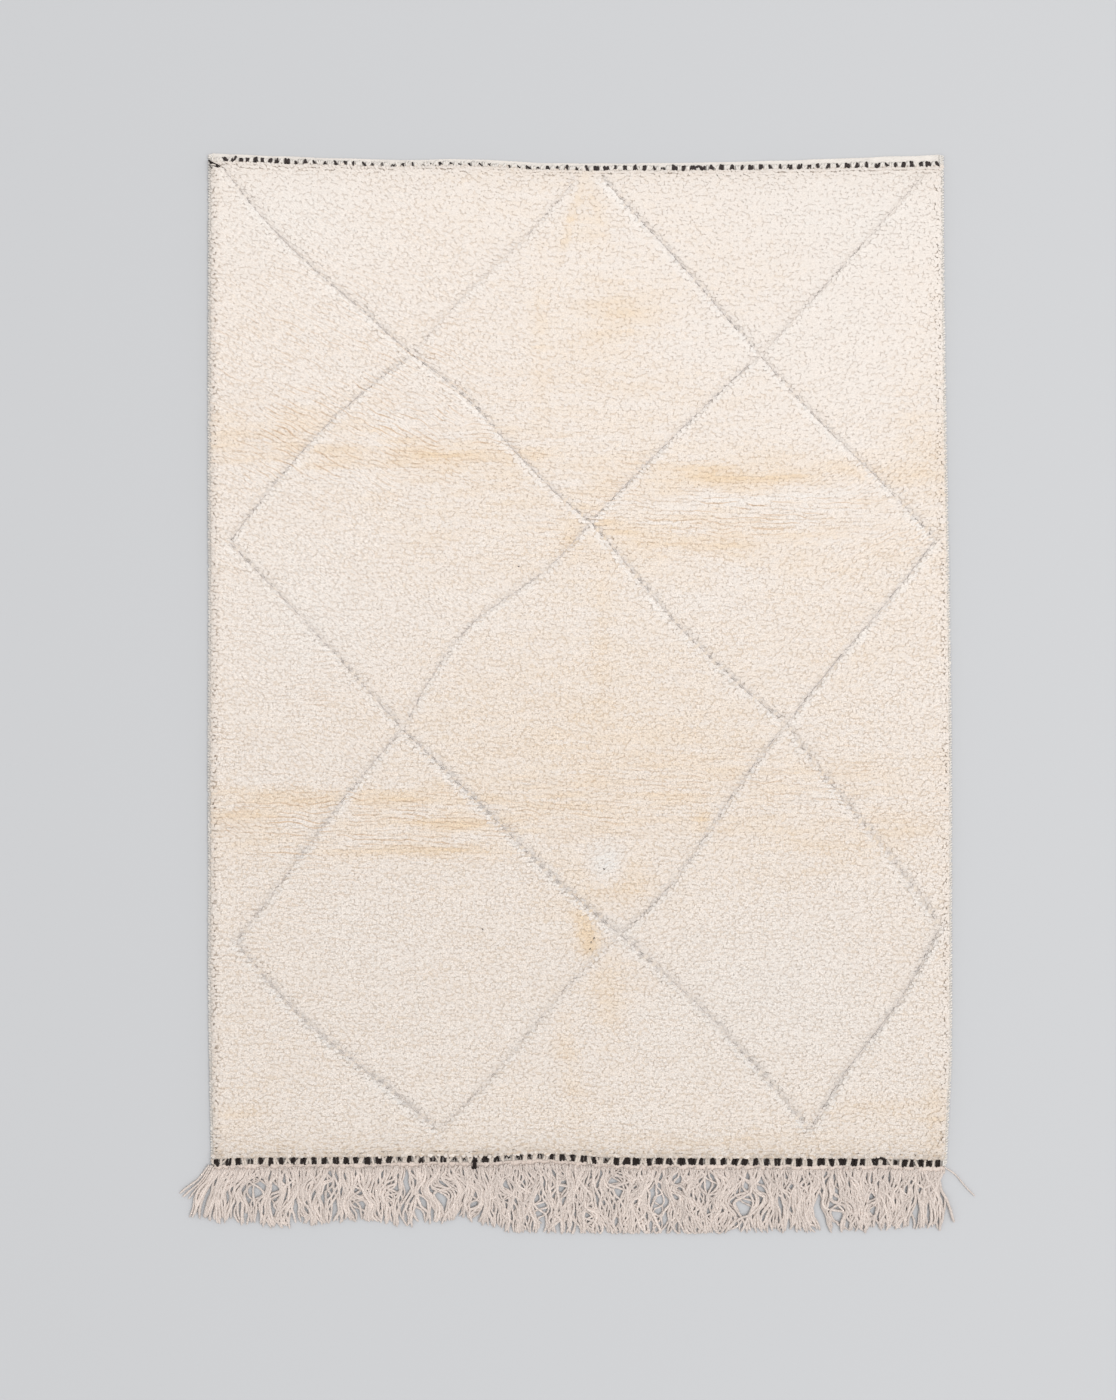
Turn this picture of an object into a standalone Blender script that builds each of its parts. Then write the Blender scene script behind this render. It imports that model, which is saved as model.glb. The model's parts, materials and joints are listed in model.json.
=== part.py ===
"""Hand-knotted ivory pile rug with a sunken lattice, twined end rows, overcast sides and a warp fringe.

Metres, +Z up, +Y towards the plain hem end, origin on the underside at the middle of the whole rug.
"""

import math

import bpy
from mathutils import Vector, noise
from mathutils.geometry import delaunay_2d_cdt

# Whole rug, laid flat
RUG_WIDTH = 1.50  # over both selvedges, at the hem
HEM_END_Y = 1.0925  # outer edge of the hem, near the two corners
HEM_SAG = 0.019  # how far the middle of the hem end lies behind its corners
HEM_SAG_X = 0.030  # where it lies furthest behind them
HEM_SWELL = 0.006  # a low swell of the hem's edge, left of its middle
FRINGE_END_Y = -0.947  # foot of the pile at the fringe end
LEFT_DRAWN_IN = 0.007  # the left side comes in by this over its last fifth
RIGHT_SET_IN = 0.007  # the right side starts this far in at the hem
RIGHT_BULGE = 0.017  # and bows out by this, below the middle
RIGHT_DRAWN_IN = 0.010  # and comes back by this in its last tenth
GAP = 0.0003  # between neighbouring pieces

# Pile and ground weave
PILE_HEIGHT = 0.0175  # top of the pile over the floor
PILE_LUMPS = 0.0016  # slow rise and fall of the pile
PILE_CREASE = 0.0010  # ridges that follow the knot rows
GROUND_THICKNESS = 0.0040  # bare weave at the hem and at the fringe end
TOP_LIP = 0.0164  # bare weave beyond the pile at the middle of the hem end
TOP_LIP_SLANT = 0.005  # it widens by this to the right, for each metre
TOP_LIP_SPREAD = 0.009  # and by this towards both corners, for each metre squared
BOTTOM_LIP = 0.0135  # bare weave beyond the pile, fringe end
GRID_STEP = 0.056  # spacing of the free points of the pile's face
GRID_JITTER = 0.010
RIM_MARGIN = 0.032  # free points stay this far from the rim

# Sunken lattice lines
GROOVE_DEPTH = 0.0038
GROOVE_HALF = 0.0085  # half the width of a line
GROOVE_STEP = 0.046  # spacing of the points along a line
GROOVE_MARGIN = 0.026  # free points stay this far from a line
LINE_WOBBLE = 0.003  # the hand-drawn unevenness of a line

# Rim of the pile: three points to a lock, so 98 locks
END_SEGMENTS = 63
SIDE_SEGMENTS = 84
LOCK_REACH = 0.0030
LOCK_DROOP = 0.0009
RIM_LUMPS = 0.0012

# Twined rows
TWINE_WIDTH = 0.0120
TWINE_HEIGHT = 0.0044
TWINE_WAIST = 0.60  # height between two stitches, as a share of a stitch's
TWINE_SHOULDER = 0.0030  # how far the top edge lies inside the foot
TWINE_TILT = 0.0014  # alternate stitches lean this far forwards and back
TWINE_SET_OFF = 0.0006  # from the foot of the pile
TWINE_END_SET_IN = 0.010  # from the outer lines of the sides
TOP_STITCHES = 78
BOTTOM_STITCHES = 68

# Overcast side cords
SELVEDGE_WIDTH = 0.0070
SELVEDGE_HEIGHT = 0.0068
SELVEDGE_WAIST = 0.84  # height between two lumps, as a share of a lump's
SELVEDGE_LUMP = 0.0005  # a lump stands out sideways by this
SELVEDGE_SHOULDER = 0.0017  # how far the top edge lies inside the foot

# Heading strip and warp fringe
HEADING_WIDTH = 0.0140
HEADING_THICKNESS = 0.0036
STRANDS = 200
STRAND_WIDTH = 0.0050
STRAND_HEIGHT = 0.0034
FRINGE_LENGTH = 0.128  # from the heading to the longest tip
FRINGE_STEPS = 5
STRAND_TIP = 0.55  # a tip's thickness, as a share of the strand's
SWAY = 0.010  # neighbouring strands sway together by about this
WANDER = 0.006  # and each by itself by about this
PARTING_DEPTH = 0.28  # how much of the length a parting takes, as a share of the longest
FLARED_STRANDS = 4  # at the left corner they swing outwards together
FLARE_REACH = 0.0750
LONE_REACH = 0.0680  # the last strand at the right corner swings out alone
FLARE_DEPTH = 0.50  # where a flared strand ends, as a share of the longest
HEADING_OVERHANG = 0.0020  # the heading runs on past the first and last strand

# Loose end of black yarn
TAIL_X = -0.208
TAIL_WIDTH = 0.0080
TAIL_HEIGHT = 0.0030
TAIL_LENGTH = 0.0180

# Sections of the yarn end: share of its length, of its width, of its height
TAIL_SECTIONS = [
    (0.0, 0.6, 0.8),
    (0.4, 1.0, 1.0),
    (0.8, 0.9, 0.9),
    (1.0, 0.5, 0.6),
]

# Crossings of the lattice: name, x, y
CROSSINGS = {
    "top_left": (-0.704, 1.044),
    "top_mid_a": (-0.012, 1.026),
    "top_mid_b": (0.064, 1.026),
    "top_right": (0.698, 1.036),
    "upper_left": (-0.335, 0.682),
    "upper_right": (0.370, 0.681),
    "middle_left": (-0.705, 0.303),
    "middle": (0.027, 0.343),
    "middle_right": (0.724, 0.306),
    "lower_left": (-0.354, -0.076),
    "lower_right": (0.424, -0.066),
    "low_left_edge": (-0.692, -0.507),
    "low_middle": (0.084, -0.491),
    "low_right_edge": (0.735, -0.477),
    "bottom_left": (-0.282, -0.890),
    "bottom_right": (0.470, -0.890),
}

# Lattice lines between two crossings: from, to, bow towards +Y at the middle,
# and bend towards +Y in the first half and -Y in the second
LINES = [
    ("top_left", "upper_left", -0.020, -0.006),
    ("upper_left", "middle", 0.006, 0.010),
    ("middle", "lower_right", -0.025, 0.003),
    ("lower_right", "low_right_edge", 0.004, -0.007),
    ("top_mid_b", "upper_right", 0.002, 0.000),
    ("upper_right", "middle_right", -0.001, -0.005),
    ("top_right", "upper_right", -0.004, 0.000),
    ("upper_right", "middle", 0.008, 0.000),
    ("middle", "lower_left", 0.043, -0.026),
    ("lower_left", "low_left_edge", 0.009, 0.003),
    ("top_mid_a", "upper_left", -0.001, -0.008),
    ("upper_left", "middle_left", 0.034, 0.000),
    ("middle_left", "lower_left", 0.004, 0.000),
    ("lower_left", "low_middle", -0.009, 0.004),
    ("low_middle", "bottom_right", 0.021, -0.002),
    ("middle_right", "lower_right", -0.001, -0.004),
    ("lower_right", "low_middle", -0.022, 0.014),
    ("low_middle", "bottom_left", 0.000, 0.008),
    ("low_left_edge", "bottom_left", -0.024, -0.010),
    ("low_right_edge", "bottom_right", -0.010, -0.012),
]

# Partings of the fringe: x, reach of the push, width of the stretch pushed, depth where widest (0 to 1)
PARTINGS = [
    (-0.655, 0.011, 0.050, 0.35),
    (-0.613, 0.006, 0.030, 0.40),
    (-0.550, 0.006, 0.030, 0.75),
    (-0.505, 0.005, 0.025, 0.25),
    (-0.445, 0.009, 0.040, 0.70),
    (-0.378, 0.009, 0.035, 0.35),
    (-0.283, 0.011, 0.045, 0.35),
    (-0.208, 0.008, 0.030, 0.60),
    (-0.145, 0.006, 0.030, 0.35),
    (-0.075, 0.009, 0.035, 0.50),
    (0.082, 0.013, 0.045, 0.25),
    (0.118, 0.006, 0.025, 0.40),
    (0.163, 0.008, 0.030, 0.55),
    (0.200, 0.007, 0.028, 0.30),
    (0.272, 0.008, 0.030, 0.25),
    (0.337, 0.012, 0.050, 0.55),
    (0.372, 0.006, 0.025, 0.35),
    (0.525, 0.010, 0.040, 0.60),
    (0.598, 0.006, 0.030, 0.60),
    (0.668, 0.005, 0.030, 0.45),
]

# Rim sections, hem and fringe ends: outward from the pile's foot, height
END_RIM = [
    (-0.0120, 0.0160),
    (-0.0022, 0.0105),
    (-0.0030, GROUND_THICKNESS),
]

# Rim sections, sides: outward from the selvedge's outer line, height
SIDE_GROUND = -SELVEDGE_WIDTH - GAP
SIDE_RIM = [
    (-0.0160, 0.0160),
    (-0.0050, 0.0112),
    (SIDE_GROUND, 0.0078),
    (SIDE_GROUND, GROUND_THICKNESS),
    (SIDE_GROUND, 0.0),
]


def start_empty():
    for obj in list(bpy.data.objects):
        bpy.data.objects.remove(obj, do_unlink=True)


def finish_material(name, colour, roughness):
    material = bpy.data.materials.new(name)
    material.use_nodes = True
    shader = material.node_tree.nodes["Principled BSDF"]
    shader.inputs["Base Color"].default_value = (*colour, 1.0)
    shader.inputs["Roughness"].default_value = roughness
    shader.inputs["Metallic"].default_value = 0.0
    return material


def add_piece(name, points, faces, material):
    mesh = bpy.data.meshes.new(name)
    mesh.from_pydata([tuple(p) for p in points], [], faces)
    mesh.update()
    mesh.materials.append(material)
    piece = bpy.data.objects.new(name, mesh)
    bpy.context.scene.collection.objects.link(piece)
    return piece


def uneven(x, y, scale, seed):
    """Smooth unevenness from -1 to 1, with its features about `scale` metres apart."""
    return noise.noise(Vector((x / scale, y / scale, seed)))


def hump(x, centre, width):
    return math.exp(-(((x - centre) / width) ** 2))


# Outline of the laid rug


def share_down(y):
    """How far down the rug y lies, from 0 at the hem to 1 at the fringe end."""
    return (HEM_END_Y - y) / (HEM_END_Y - FRINGE_END_Y)


def left_side(y):
    drawn_in = LEFT_DRAWN_IN * max(0.0, share_down(y) - 0.8) / 0.2
    return -RUG_WIDTH / 2 + 0.0025 * uneven(0.0, y, 0.45, 3.7) + drawn_in


def right_side(y):
    down = share_down(y)
    bulge = RIGHT_BULGE * (0.5 - 0.5 * math.cos(math.pi * min(down / 0.68, 1.0)))
    drawn_in = RIGHT_DRAWN_IN * max(0.0, down - 0.9) / 0.1
    return RUG_WIDTH / 2 - RIGHT_SET_IN + bulge - drawn_in


def hem_edge(x):
    sag = HEM_SAG * math.cos(math.pi * (x - HEM_SAG_X) / RUG_WIDTH)
    return HEM_END_Y - sag + HEM_SWELL * hump(x, -0.22, 0.10)


def hem_lip(x):
    return TOP_LIP + TOP_LIP_SLANT * x + TOP_LIP_SPREAD * x * x


def hem_foot(x):
    """Foot of the pile at the hem end."""
    return hem_edge(x) - hem_lip(x)


def fringe_foot(x):
    """Foot of the pile at the fringe end, which waves a little."""
    rise = 0.0095 * hump(x, -0.07, 0.10) + 0.004 * hump(x, -0.30, 0.10)
    dip = 0.0035 * hump(abs(x), 0.75, 0.08)
    return FRINGE_END_Y - 0.002 * x + rise - dip


def lip_edge(x):
    return fringe_foot(x) - BOTTOM_LIP


# y of the pile's foot at the left and at the right corner of each end
HEM_CORNERS = (hem_foot(-RUG_WIDTH / 2), hem_foot(RUG_WIDTH / 2))
FRINGE_CORNERS = (fringe_foot(-RUG_WIDTH / 2), fringe_foot(RUG_WIDTH / 2))


# Sunken lattice


def lattice_line(start, end, bow, bend, number):
    """Points along one hand-drawn line between two crossings."""
    (x0, y0), (x1, y1) = CROSSINGS[start], CROSSINGS[end]
    steps = round(math.dist((x0, y0), (x1, y1)) / GROOVE_STEP)
    points = []
    for i in range(steps + 1):
        t = i / steps
        held = math.sin(math.pi * t)
        wander = LINE_WOBBLE * held * uneven(2.5 * t, 0.0, 0.7, 11.3 + number)
        x = x0 + (x1 - x0) * t + wander
        y = y0 + (y1 - y0) * t + bow * held + bend * math.sin(2 * math.pi * t) + wander
        points.append((x, y))
    return points


def distance_to_line(x, y, line):
    nearest = math.inf
    for (ax, ay), (bx, by) in zip(line, line[1:]):
        dx, dy = bx - ax, by - ay
        t = ((x - ax) * dx + (y - ay) * dy) / (dx * dx + dy * dy)
        t = min(1.0, max(0.0, t))
        nearest = min(nearest, math.dist((x, y), (ax + dx * t, ay + dy * t)))
    return nearest


def pile_top(x, y, lattice):
    """Height of the pile's face over the floor."""
    lumps = PILE_LUMPS * (uneven(x, y, 0.16, 5.1) + 0.7 * uneven(x, y, 0.06, 8.9))
    crease = PILE_CREASE * uneven(0.35 * x, y, 0.035, 2.2)
    away = min(distance_to_line(x, y, line) for line in lattice)
    groove = GROOVE_DEPTH * math.exp(-((1.25 * away / GROOVE_HALF) ** 2))
    return PILE_HEIGHT + lumps + crease - groove


def side_stations(side):
    """y of the rim's points along side 0 (left) or 1 (right), from the fringe end to the hem end."""
    low = FRINGE_CORNERS[side]
    step = (HEM_CORNERS[side] - low) / SIDE_SEGMENTS
    return [low + step * i for i in range(SIDE_SEGMENTS + 1)]


def end_stations(corners):
    """x of the rim's points along an end, from the left side to the right side."""
    left = left_side(corners[0])
    step = (right_side(corners[1]) - left) / END_SEGMENTS
    return [left + step * i for i in range(END_SEGMENTS + 1)]


def rim_outline():
    """Ends and sides in one turn: x, y, outward x, outward y."""
    turn = [(x, fringe_foot(x), 0, -1) for x in end_stations(FRINGE_CORNERS)[:-1]]
    turn[0] = (left_side(FRINGE_CORNERS[0]), FRINGE_CORNERS[0], -1, -1)
    turn.append((right_side(FRINGE_CORNERS[1]), FRINGE_CORNERS[1], 1, -1))
    turn += [(right_side(y), y, 1, 0) for y in side_stations(1)[1:-1]]
    turn.append((right_side(HEM_CORNERS[1]), HEM_CORNERS[1], 1, 1))
    turn += [(x, hem_foot(x), 0, 1) for x in end_stations(HEM_CORNERS)[-2:0:-1]]
    turn.append((left_side(HEM_CORNERS[0]), HEM_CORNERS[0], -1, 1))
    turn += [(left_side(y), y, -1, 0) for y in side_stations(0)[-2:0:-1]]
    return turn


def rim_rings():
    """Five rings from the edge of the pile's face down to the floor."""
    rings = [[] for _ in SIDE_RIM]
    for i, (x, y, out_x, out_y) in enumerate(rim_outline()):
        lip = hem_lip(x) if out_y > 0 else BOTTOM_LIP
        end_rim = END_RIM + [(lip, GROUND_THICKNESS), (lip, 0.0)]
        lock = 1.0 if i % 3 == 1 and not (out_x and out_y) else 0.0
        for k, ring in enumerate(rings):
            side_out, side_z = SIDE_RIM[k]
            end_out, end_z = end_rim[k]
            if k == 1:
                side_out += lock * LOCK_REACH
                end_out += lock * LOCK_REACH * 0.6
            z = end_z if out_y else side_z
            if k < 2:
                z += RIM_LUMPS * uneven(x, y, 0.03, 6.4) - lock * LOCK_DROOP
            ring.append((x + out_x * side_out, y + out_y * end_out, z))
    return rings


def free_points(inner, lattice):
    """Points of the pile's face that lie off the lattice and off its rim."""
    left, right = min(p[0] for p in inner), max(p[0] for p in inner)
    low, high = min(p[1] for p in inner), max(p[1] for p in inner)
    columns = round((right - left) / GRID_STEP)
    rows = round((high - low) / GRID_STEP)
    points = []
    for row in range(1, rows):
        for column in range(1, columns):
            x = left + (right - left) * (column + 0.5 * (row % 2) - 0.25) / columns
            y = low + (high - low) * row / rows
            x += GRID_JITTER * uneven(x, y, 0.021, 1.3)
            y += GRID_JITTER * uneven(x, y, 0.019, 4.6)
            in_width = left + RIM_MARGIN < x < right - RIM_MARGIN
            in_length = fringe_foot(x) + RIM_MARGIN < y < hem_foot(x) - RIM_MARGIN
            off_lines = all(distance_to_line(x, y, line) > GROOVE_MARGIN for line in lattice)
            if in_width and in_length and off_lines:
                points.append((x, y))
    return points


def build_rug_body(material):
    """Ground weave, pile and both bare lips as one closed solid."""
    lattice = [lattice_line(*row, number) for number, row in enumerate(LINES)]
    rings = rim_rings()
    inner = rings[0]
    count = len(inner)

    # the pile's face in plan: its rim, the bottom and both shoulders of each line, and free points
    flat = [Vector(p[:2]) for p in inner]
    edges = [(i, (i + 1) % count) for i in range(count)]
    for line in lattice:
        for side in (-GROOVE_HALF, 0.0, GROOVE_HALF):
            first = len(flat)
            for (ax, ay), (bx, by) in zip(line, line[1:]):
                run = math.dist((ax, ay), (bx, by))
                flat.append(Vector((ax - side * (by - ay) / run, ay + side * (bx - ax) / run)))
            edges += [(i, i + 1) for i in range(first, len(flat) - 1)]
    flat += [Vector(p) for p in free_points(inner, lattice)]
    spots, _, faces, sources, _, _ = delaunay_2d_cdt(flat, edges, [list(range(count))], 1, 1e-5)

    # raised to its height, with the rim's rings below it
    points = []
    rim_place = {}
    for spot, source in zip(spots, sources):
        rim = [s for s in source if s < count]
        if rim:
            rim_place[rim[0]] = len(points)
            points.append(inner[rim[0]])
        else:
            points.append((spot.x, spot.y, pile_top(spot.x, spot.y, lattice)))
    faces = [list(face) for face in faces]

    above = [rim_place[i] for i in range(count)]
    for ring in rings[1:]:
        below = list(range(len(points), len(points) + count))
        points += ring
        for i in range(count):
            j = (i + 1) % count
            faces.append([above[i], below[i], below[j], above[j]])
        above = below
    faces.append(above[::-1])
    return add_piece("rug_body", points, faces, material)


# Cords along an edge


def lay_cord(name, sections, material):
    """Closed bar through four-cornered sections."""
    points = [corner for section in sections for corner in section]
    faces = [[3, 2, 1, 0]]
    for k in range(len(sections) - 1):
        low, high = 4 * k, 4 * k + 4
        for i in range(4):
            j = (i + 1) % 4
            faces.append([low + i, low + j, high + j, high + i])
    last = 4 * (len(sections) - 1)
    faces.append([last, last + 1, last + 2, last + 3])
    return add_piece(name, points, faces, material)


def build_twined_row(name, stitches, near_line, outward, material):
    """Two yarns twined over each other: wide at each stitch, narrow between two."""
    floor = GROUND_THICKNESS + GAP
    x0 = left_side(near_line(-RUG_WIDTH / 2)) + TWINE_END_SET_IN
    x1 = right_side(near_line(RUG_WIDTH / 2)) - TWINE_END_SET_IN
    sections = []
    for k in range(2 * stitches + 1):
        x = x0 + (x1 - x0) * k / (2 * stitches)
        full = 1.0 if k % 2 else TWINE_WAIST
        lean = TWINE_TILT * (0, 1, 0, -1)[k % 4]
        middle = near_line(x) + outward * (TWINE_SET_OFF + TWINE_WIDTH / 2)
        half = TWINE_WIDTH / 2 * (1.0 if k % 2 else 0.86)
        top = floor + TWINE_HEIGHT * full
        low = middle - half
        high = middle + half
        sections.append(
            [
                (x, low, floor),
                (x, high, floor),
                (x, high - TWINE_SHOULDER + lean, top),
                (x, low + TWINE_SHOULDER + lean, top),
            ]
        )
    return lay_cord(name, sections, material)


def build_selvedge(name, outer_line, outward, material):
    """Side cord, lumpy where the overcasting yarn goes round it."""
    run = [(outer_line(y), y) for y in side_stations(0 if outward < 0 else 1)]
    run[0] = (run[0][0], lip_edge(outward * RUG_WIDTH / 2))
    run[-1] = (run[-1][0], hem_edge(outward * RUG_WIDTH / 2))
    sections = []
    for k, (x, y) in enumerate(run):
        outer = x + outward * SELVEDGE_LUMP * (1 if k % 2 else -1)
        inner = x - outward * SELVEDGE_WIDTH
        top = SELVEDGE_HEIGHT * (1.0 if k % 2 else SELVEDGE_WAIST)
        sections.append(
            [
                (inner, y, 0.0),
                (outer, y, 0.0),
                (outer - outward * SELVEDGE_SHOULDER, y, top),
                (inner + outward * SELVEDGE_SHOULDER, y, top),
            ]
        )
    return lay_cord(name, sections if outward < 0 else sections[::-1], material)


def build_yarn_tail(material):
    """Loose end of the black twining yarn, lying over the heading."""
    start = fringe_foot(TAIL_X) - TWINE_SET_OFF - TWINE_WIDTH - 2 * GAP
    floor = GROUND_THICKNESS + GAP
    sections = []
    for along, wide, high in TAIL_SECTIONS:
        y = start - TAIL_LENGTH * along
        half = TAIL_WIDTH / 2 * wide
        top = floor + TAIL_HEIGHT * high
        sections.append(
            [
                (TAIL_X - half, y, floor),
                (TAIL_X + half, y, floor),
                (TAIL_X + 0.6 * half, y, top),
                (TAIL_X - 0.6 * half, y, top),
            ]
        )
    return lay_cord("yarn_tail", sections, material)


# Fringe


def heading_front(x):
    return lip_edge(x) - GAP - HEADING_WIDTH


def strand_layer(i):
    """0 lies on the floor, 1 lies over the strands of layer 0."""
    if i < FLARED_STRANDS or i == STRANDS - 1:
        return 0
    return i % 2


def strand_wish(i, root, t):
    """Where a strand would like to be at t, from 0 at its root to 1 at the longest tip."""
    if i < FLARED_STRANDS:
        return root - FLARE_REACH * (t / FLARE_DEPTH) ** 1.2 - 0.0040 * i * t
    if i == STRANDS - 1:
        return root + LONE_REACH * t / FLARE_DEPTH
    x = root
    for centre, reach, width, deepest in PARTINGS:
        away = root - centre
        push = math.copysign(reach, away) * math.exp(-abs(away) / width)
        x += push * hump(t, deepest, PARTING_DEPTH) * min(1.0, 3.0 * t)
    layer = strand_layer(i)
    sway = SWAY * uneven(root, 0.9 * t, 0.11 + 0.03 * layer, 7.7 + 5.0 * layer)
    own = WANDER * uneven(root, t, 0.013, 21.0 + i)
    return x + (sway + own) * min(1.0, 2.2 * t)


def strand_end(i, root):
    """Where a strand ends, as a share of the longest."""
    if i < FLARED_STRANDS:
        return FLARE_DEPTH - 0.015 * i
    if i == STRANDS - 1:
        return FLARE_DEPTH
    long_middle = 0.10 * hump(root, 0.08, 0.26)
    slow = 0.09 * uneven(root, 0.0, 0.13, 31.0)
    quick = 0.05 * uneven(root, 0.0, 0.012, 33.0)
    return 0.85 + long_middle + slow + quick


def spread_apart(places, room):
    """Keep neighbours at least `room` apart, and in their order."""
    places = list(places)
    for _ in range(60):
        for a in range(len(places) - 1):
            lack = room - (places[a + 1] - places[a])
            if lack > 0:
                places[a] -= lack / 2
                places[a + 1] += lack / 2
    for a in range(1, len(places)):
        places[a] = max(places[a], places[a - 1] + room)
    return places


def strand_places(roots):
    """x of every strand at every step down the fringe."""
    room = STRAND_WIDTH + 2 * GAP
    levels = [list(roots)]
    for k in range(1, FRINGE_STEPS + 1):
        t = k / FRINGE_STEPS
        level = [strand_wish(i, root, t) for i, root in enumerate(roots)]
        # the upper strands are clear of the lower ones from the second step on
        layers = [[0, 1]] if k == 1 else [[0], [1]]
        for layer in layers:
            group = [i for i in range(STRANDS) if strand_layer(i) in layer]
            for i, x in zip(group, spread_apart([level[i] for i in group], room)):
                level[i] = x
        levels.append(level)
    return levels


def strand_rings(i, levels):
    """Three-cornered rings of one strand, from its first step down to its tip."""
    step = FRINGE_LENGTH / FRINGE_STEPS
    start_y = heading_front(0.0)
    floor = (STRAND_HEIGHT + GAP) * strand_layer(i)
    end = strand_end(i, levels[0][i]) * FRINGE_STEPS
    last = math.ceil(end - 0.05)
    rings = []
    for k in range(1, last + 1):
        reach = min(k, end)
        x = levels[k - 1][i] + (levels[k][i] - levels[k - 1][i]) * (reach - k + 1)
        y = start_y - step * reach
        size = STRAND_TIP if k == last else 1.0
        half = STRAND_WIDTH / 2 * size
        rings.append([(x - half, y, floor), (x + half, y, floor), (x, y, floor + STRAND_HEIGHT * size)])
    return rings


def build_fringe(material):
    """Flat heading strip with every strand growing out of its front wall."""
    x0 = left_side(FRINGE_END_Y) + SELVEDGE_WIDTH
    x1 = right_side(FRINGE_END_Y) - SELVEDGE_WIDTH
    pitch = (x1 - x0) / STRANDS
    roots = [x0 + pitch * (i + 0.5) for i in range(STRANDS)]
    levels = strand_places(roots)
    strip_ends = (x0 - HEADING_OVERHANG, x1 + HEADING_OVERHANG)
    points = []
    faces = []

    def add(corners):
        points.extend(corners)
        return list(range(len(points) - len(corners), len(points)))

    def strip_edge(x, y):
        return add([(x, y, 0.0), (x, y, HEADING_THICKNESS)])

    # front wall and strands, from left to right
    low, high = strip_edge(strip_ends[0], heading_front(strip_ends[0]))
    front_low = [low]
    front_high = [high]
    for i, root in enumerate(roots):
        half = STRAND_WIDTH / 2
        y = heading_front(root)
        ring = add([(root - half, y, 0.0), (root + half, y, 0.0), (root, y, HEADING_THICKNESS)])
        faces.append([front_low[-1], ring[0], ring[2], front_high[-1]])
        front_low += ring[:2]
        front_high.append(ring[2])
        for corners in strand_rings(i, levels):
            new = add(corners)
            for a, b in ((0, 1), (1, 2), (2, 0)):
                faces.append([ring[a], ring[b], new[b], new[a]])
            ring = new
        faces.append(ring)
    low, high = strip_edge(strip_ends[1], heading_front(strip_ends[1]))
    faces.append([front_low[-1], low, high, front_high[-1]])
    front_low.append(low)
    front_high.append(high)

    # back wall along the cloth's edge, both ends, top and underside
    inside = [x for x in end_stations(FRINGE_CORNERS) if x0 < x < x1]
    back = [strip_edge(x, lip_edge(x) - GAP) for x in [strip_ends[0], *inside, strip_ends[1]]]
    for (low, high), (next_low, next_high) in zip(back, back[1:]):
        faces.append([next_low, low, high, next_high])
    faces.append([back[0][0], front_low[0], front_high[0], back[0][1]])
    faces.append([front_low[-1], back[-1][0], back[-1][1], front_high[-1]])
    faces.append(front_high + [high for _, high in reversed(back)])
    faces.append(front_low[::-1] + [low for low, _ in back])
    return add_piece("fringe", points, faces, material)


def main():
    start_empty()
    ivory = finish_material("ivory pile wool", (0.80, 0.72, 0.61), 0.95)
    cream = finish_material("cream edge wool", (0.72, 0.70, 0.66), 0.95)
    dark = finish_material("black and cream twine", (0.08, 0.07, 0.07), 0.90)
    beige = finish_material("beige warp yarn", (0.60, 0.52, 0.46), 0.92)
    black = finish_material("black yarn", (0.02, 0.018, 0.018), 0.90)

    build_rug_body(ivory)
    build_twined_row("top_twined_row", TOP_STITCHES, hem_foot, 1, dark)
    build_twined_row("bottom_twined_row", BOTTOM_STITCHES, fringe_foot, -1, dark)
    build_selvedge("left_selvedge", left_side, -1, cream)
    build_selvedge("right_selvedge", right_side, 1, cream)
    build_fringe(beige)
    build_yarn_tail(black)


main()
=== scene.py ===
# Hand-knotted ivory pile rug, laid flat: pile tufts over a ground weave, twined end rows,
# overcast sides and a plied warp fringe. Metres, +Y towards the hem end, floor at z = 0.
import json
from math import cos, dist, exp, pi, radians, sin

import bpy
import numpy as np
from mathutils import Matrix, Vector, noise

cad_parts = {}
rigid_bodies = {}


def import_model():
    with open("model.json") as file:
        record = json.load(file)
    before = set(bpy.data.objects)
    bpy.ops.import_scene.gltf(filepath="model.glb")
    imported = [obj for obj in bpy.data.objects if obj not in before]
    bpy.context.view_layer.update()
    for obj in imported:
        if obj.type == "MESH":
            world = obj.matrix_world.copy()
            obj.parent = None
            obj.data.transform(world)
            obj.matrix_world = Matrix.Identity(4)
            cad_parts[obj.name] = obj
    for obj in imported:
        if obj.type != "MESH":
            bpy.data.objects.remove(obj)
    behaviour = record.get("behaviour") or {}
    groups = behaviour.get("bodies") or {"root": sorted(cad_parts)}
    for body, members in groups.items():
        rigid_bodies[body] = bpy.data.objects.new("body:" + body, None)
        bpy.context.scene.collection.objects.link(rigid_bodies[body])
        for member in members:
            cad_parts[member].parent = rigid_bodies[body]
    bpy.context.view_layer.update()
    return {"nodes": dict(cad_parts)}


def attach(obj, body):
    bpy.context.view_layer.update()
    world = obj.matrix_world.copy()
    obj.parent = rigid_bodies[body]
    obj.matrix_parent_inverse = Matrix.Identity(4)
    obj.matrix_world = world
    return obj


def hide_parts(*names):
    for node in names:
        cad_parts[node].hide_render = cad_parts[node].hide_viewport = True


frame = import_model()
print("frame loaded:", len(frame["nodes"]), "CAD nodes")

# the view from straight above, the light over it and the pale floor
view = {"x": -0.0396, "y": -0.0173, "height": 3.952, "lens": 50.0}
light = {
    "sky": 0.87,
    "skyTone": (0.985, 0.99, 1.0),
    "key": 630.0,
    "keySize": 9.0,
    "keyAt": (4.2, 0.3, 10.8),
}
floorPlane = {"reach": 9.0, "level": -0.0004, "tone": (0.514, 0.518, 0.527), "roughness": 0.85}


def addObject(name, data):
    thing = bpy.data.objects.new(name, data)
    bpy.context.scene.collection.objects.link(thing)
    return thing


def newMesh(name, points, faces, edges=()):
    mesh = bpy.data.meshes.new(name)
    mesh.from_pydata(points, edges, faces)
    return mesh


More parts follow.
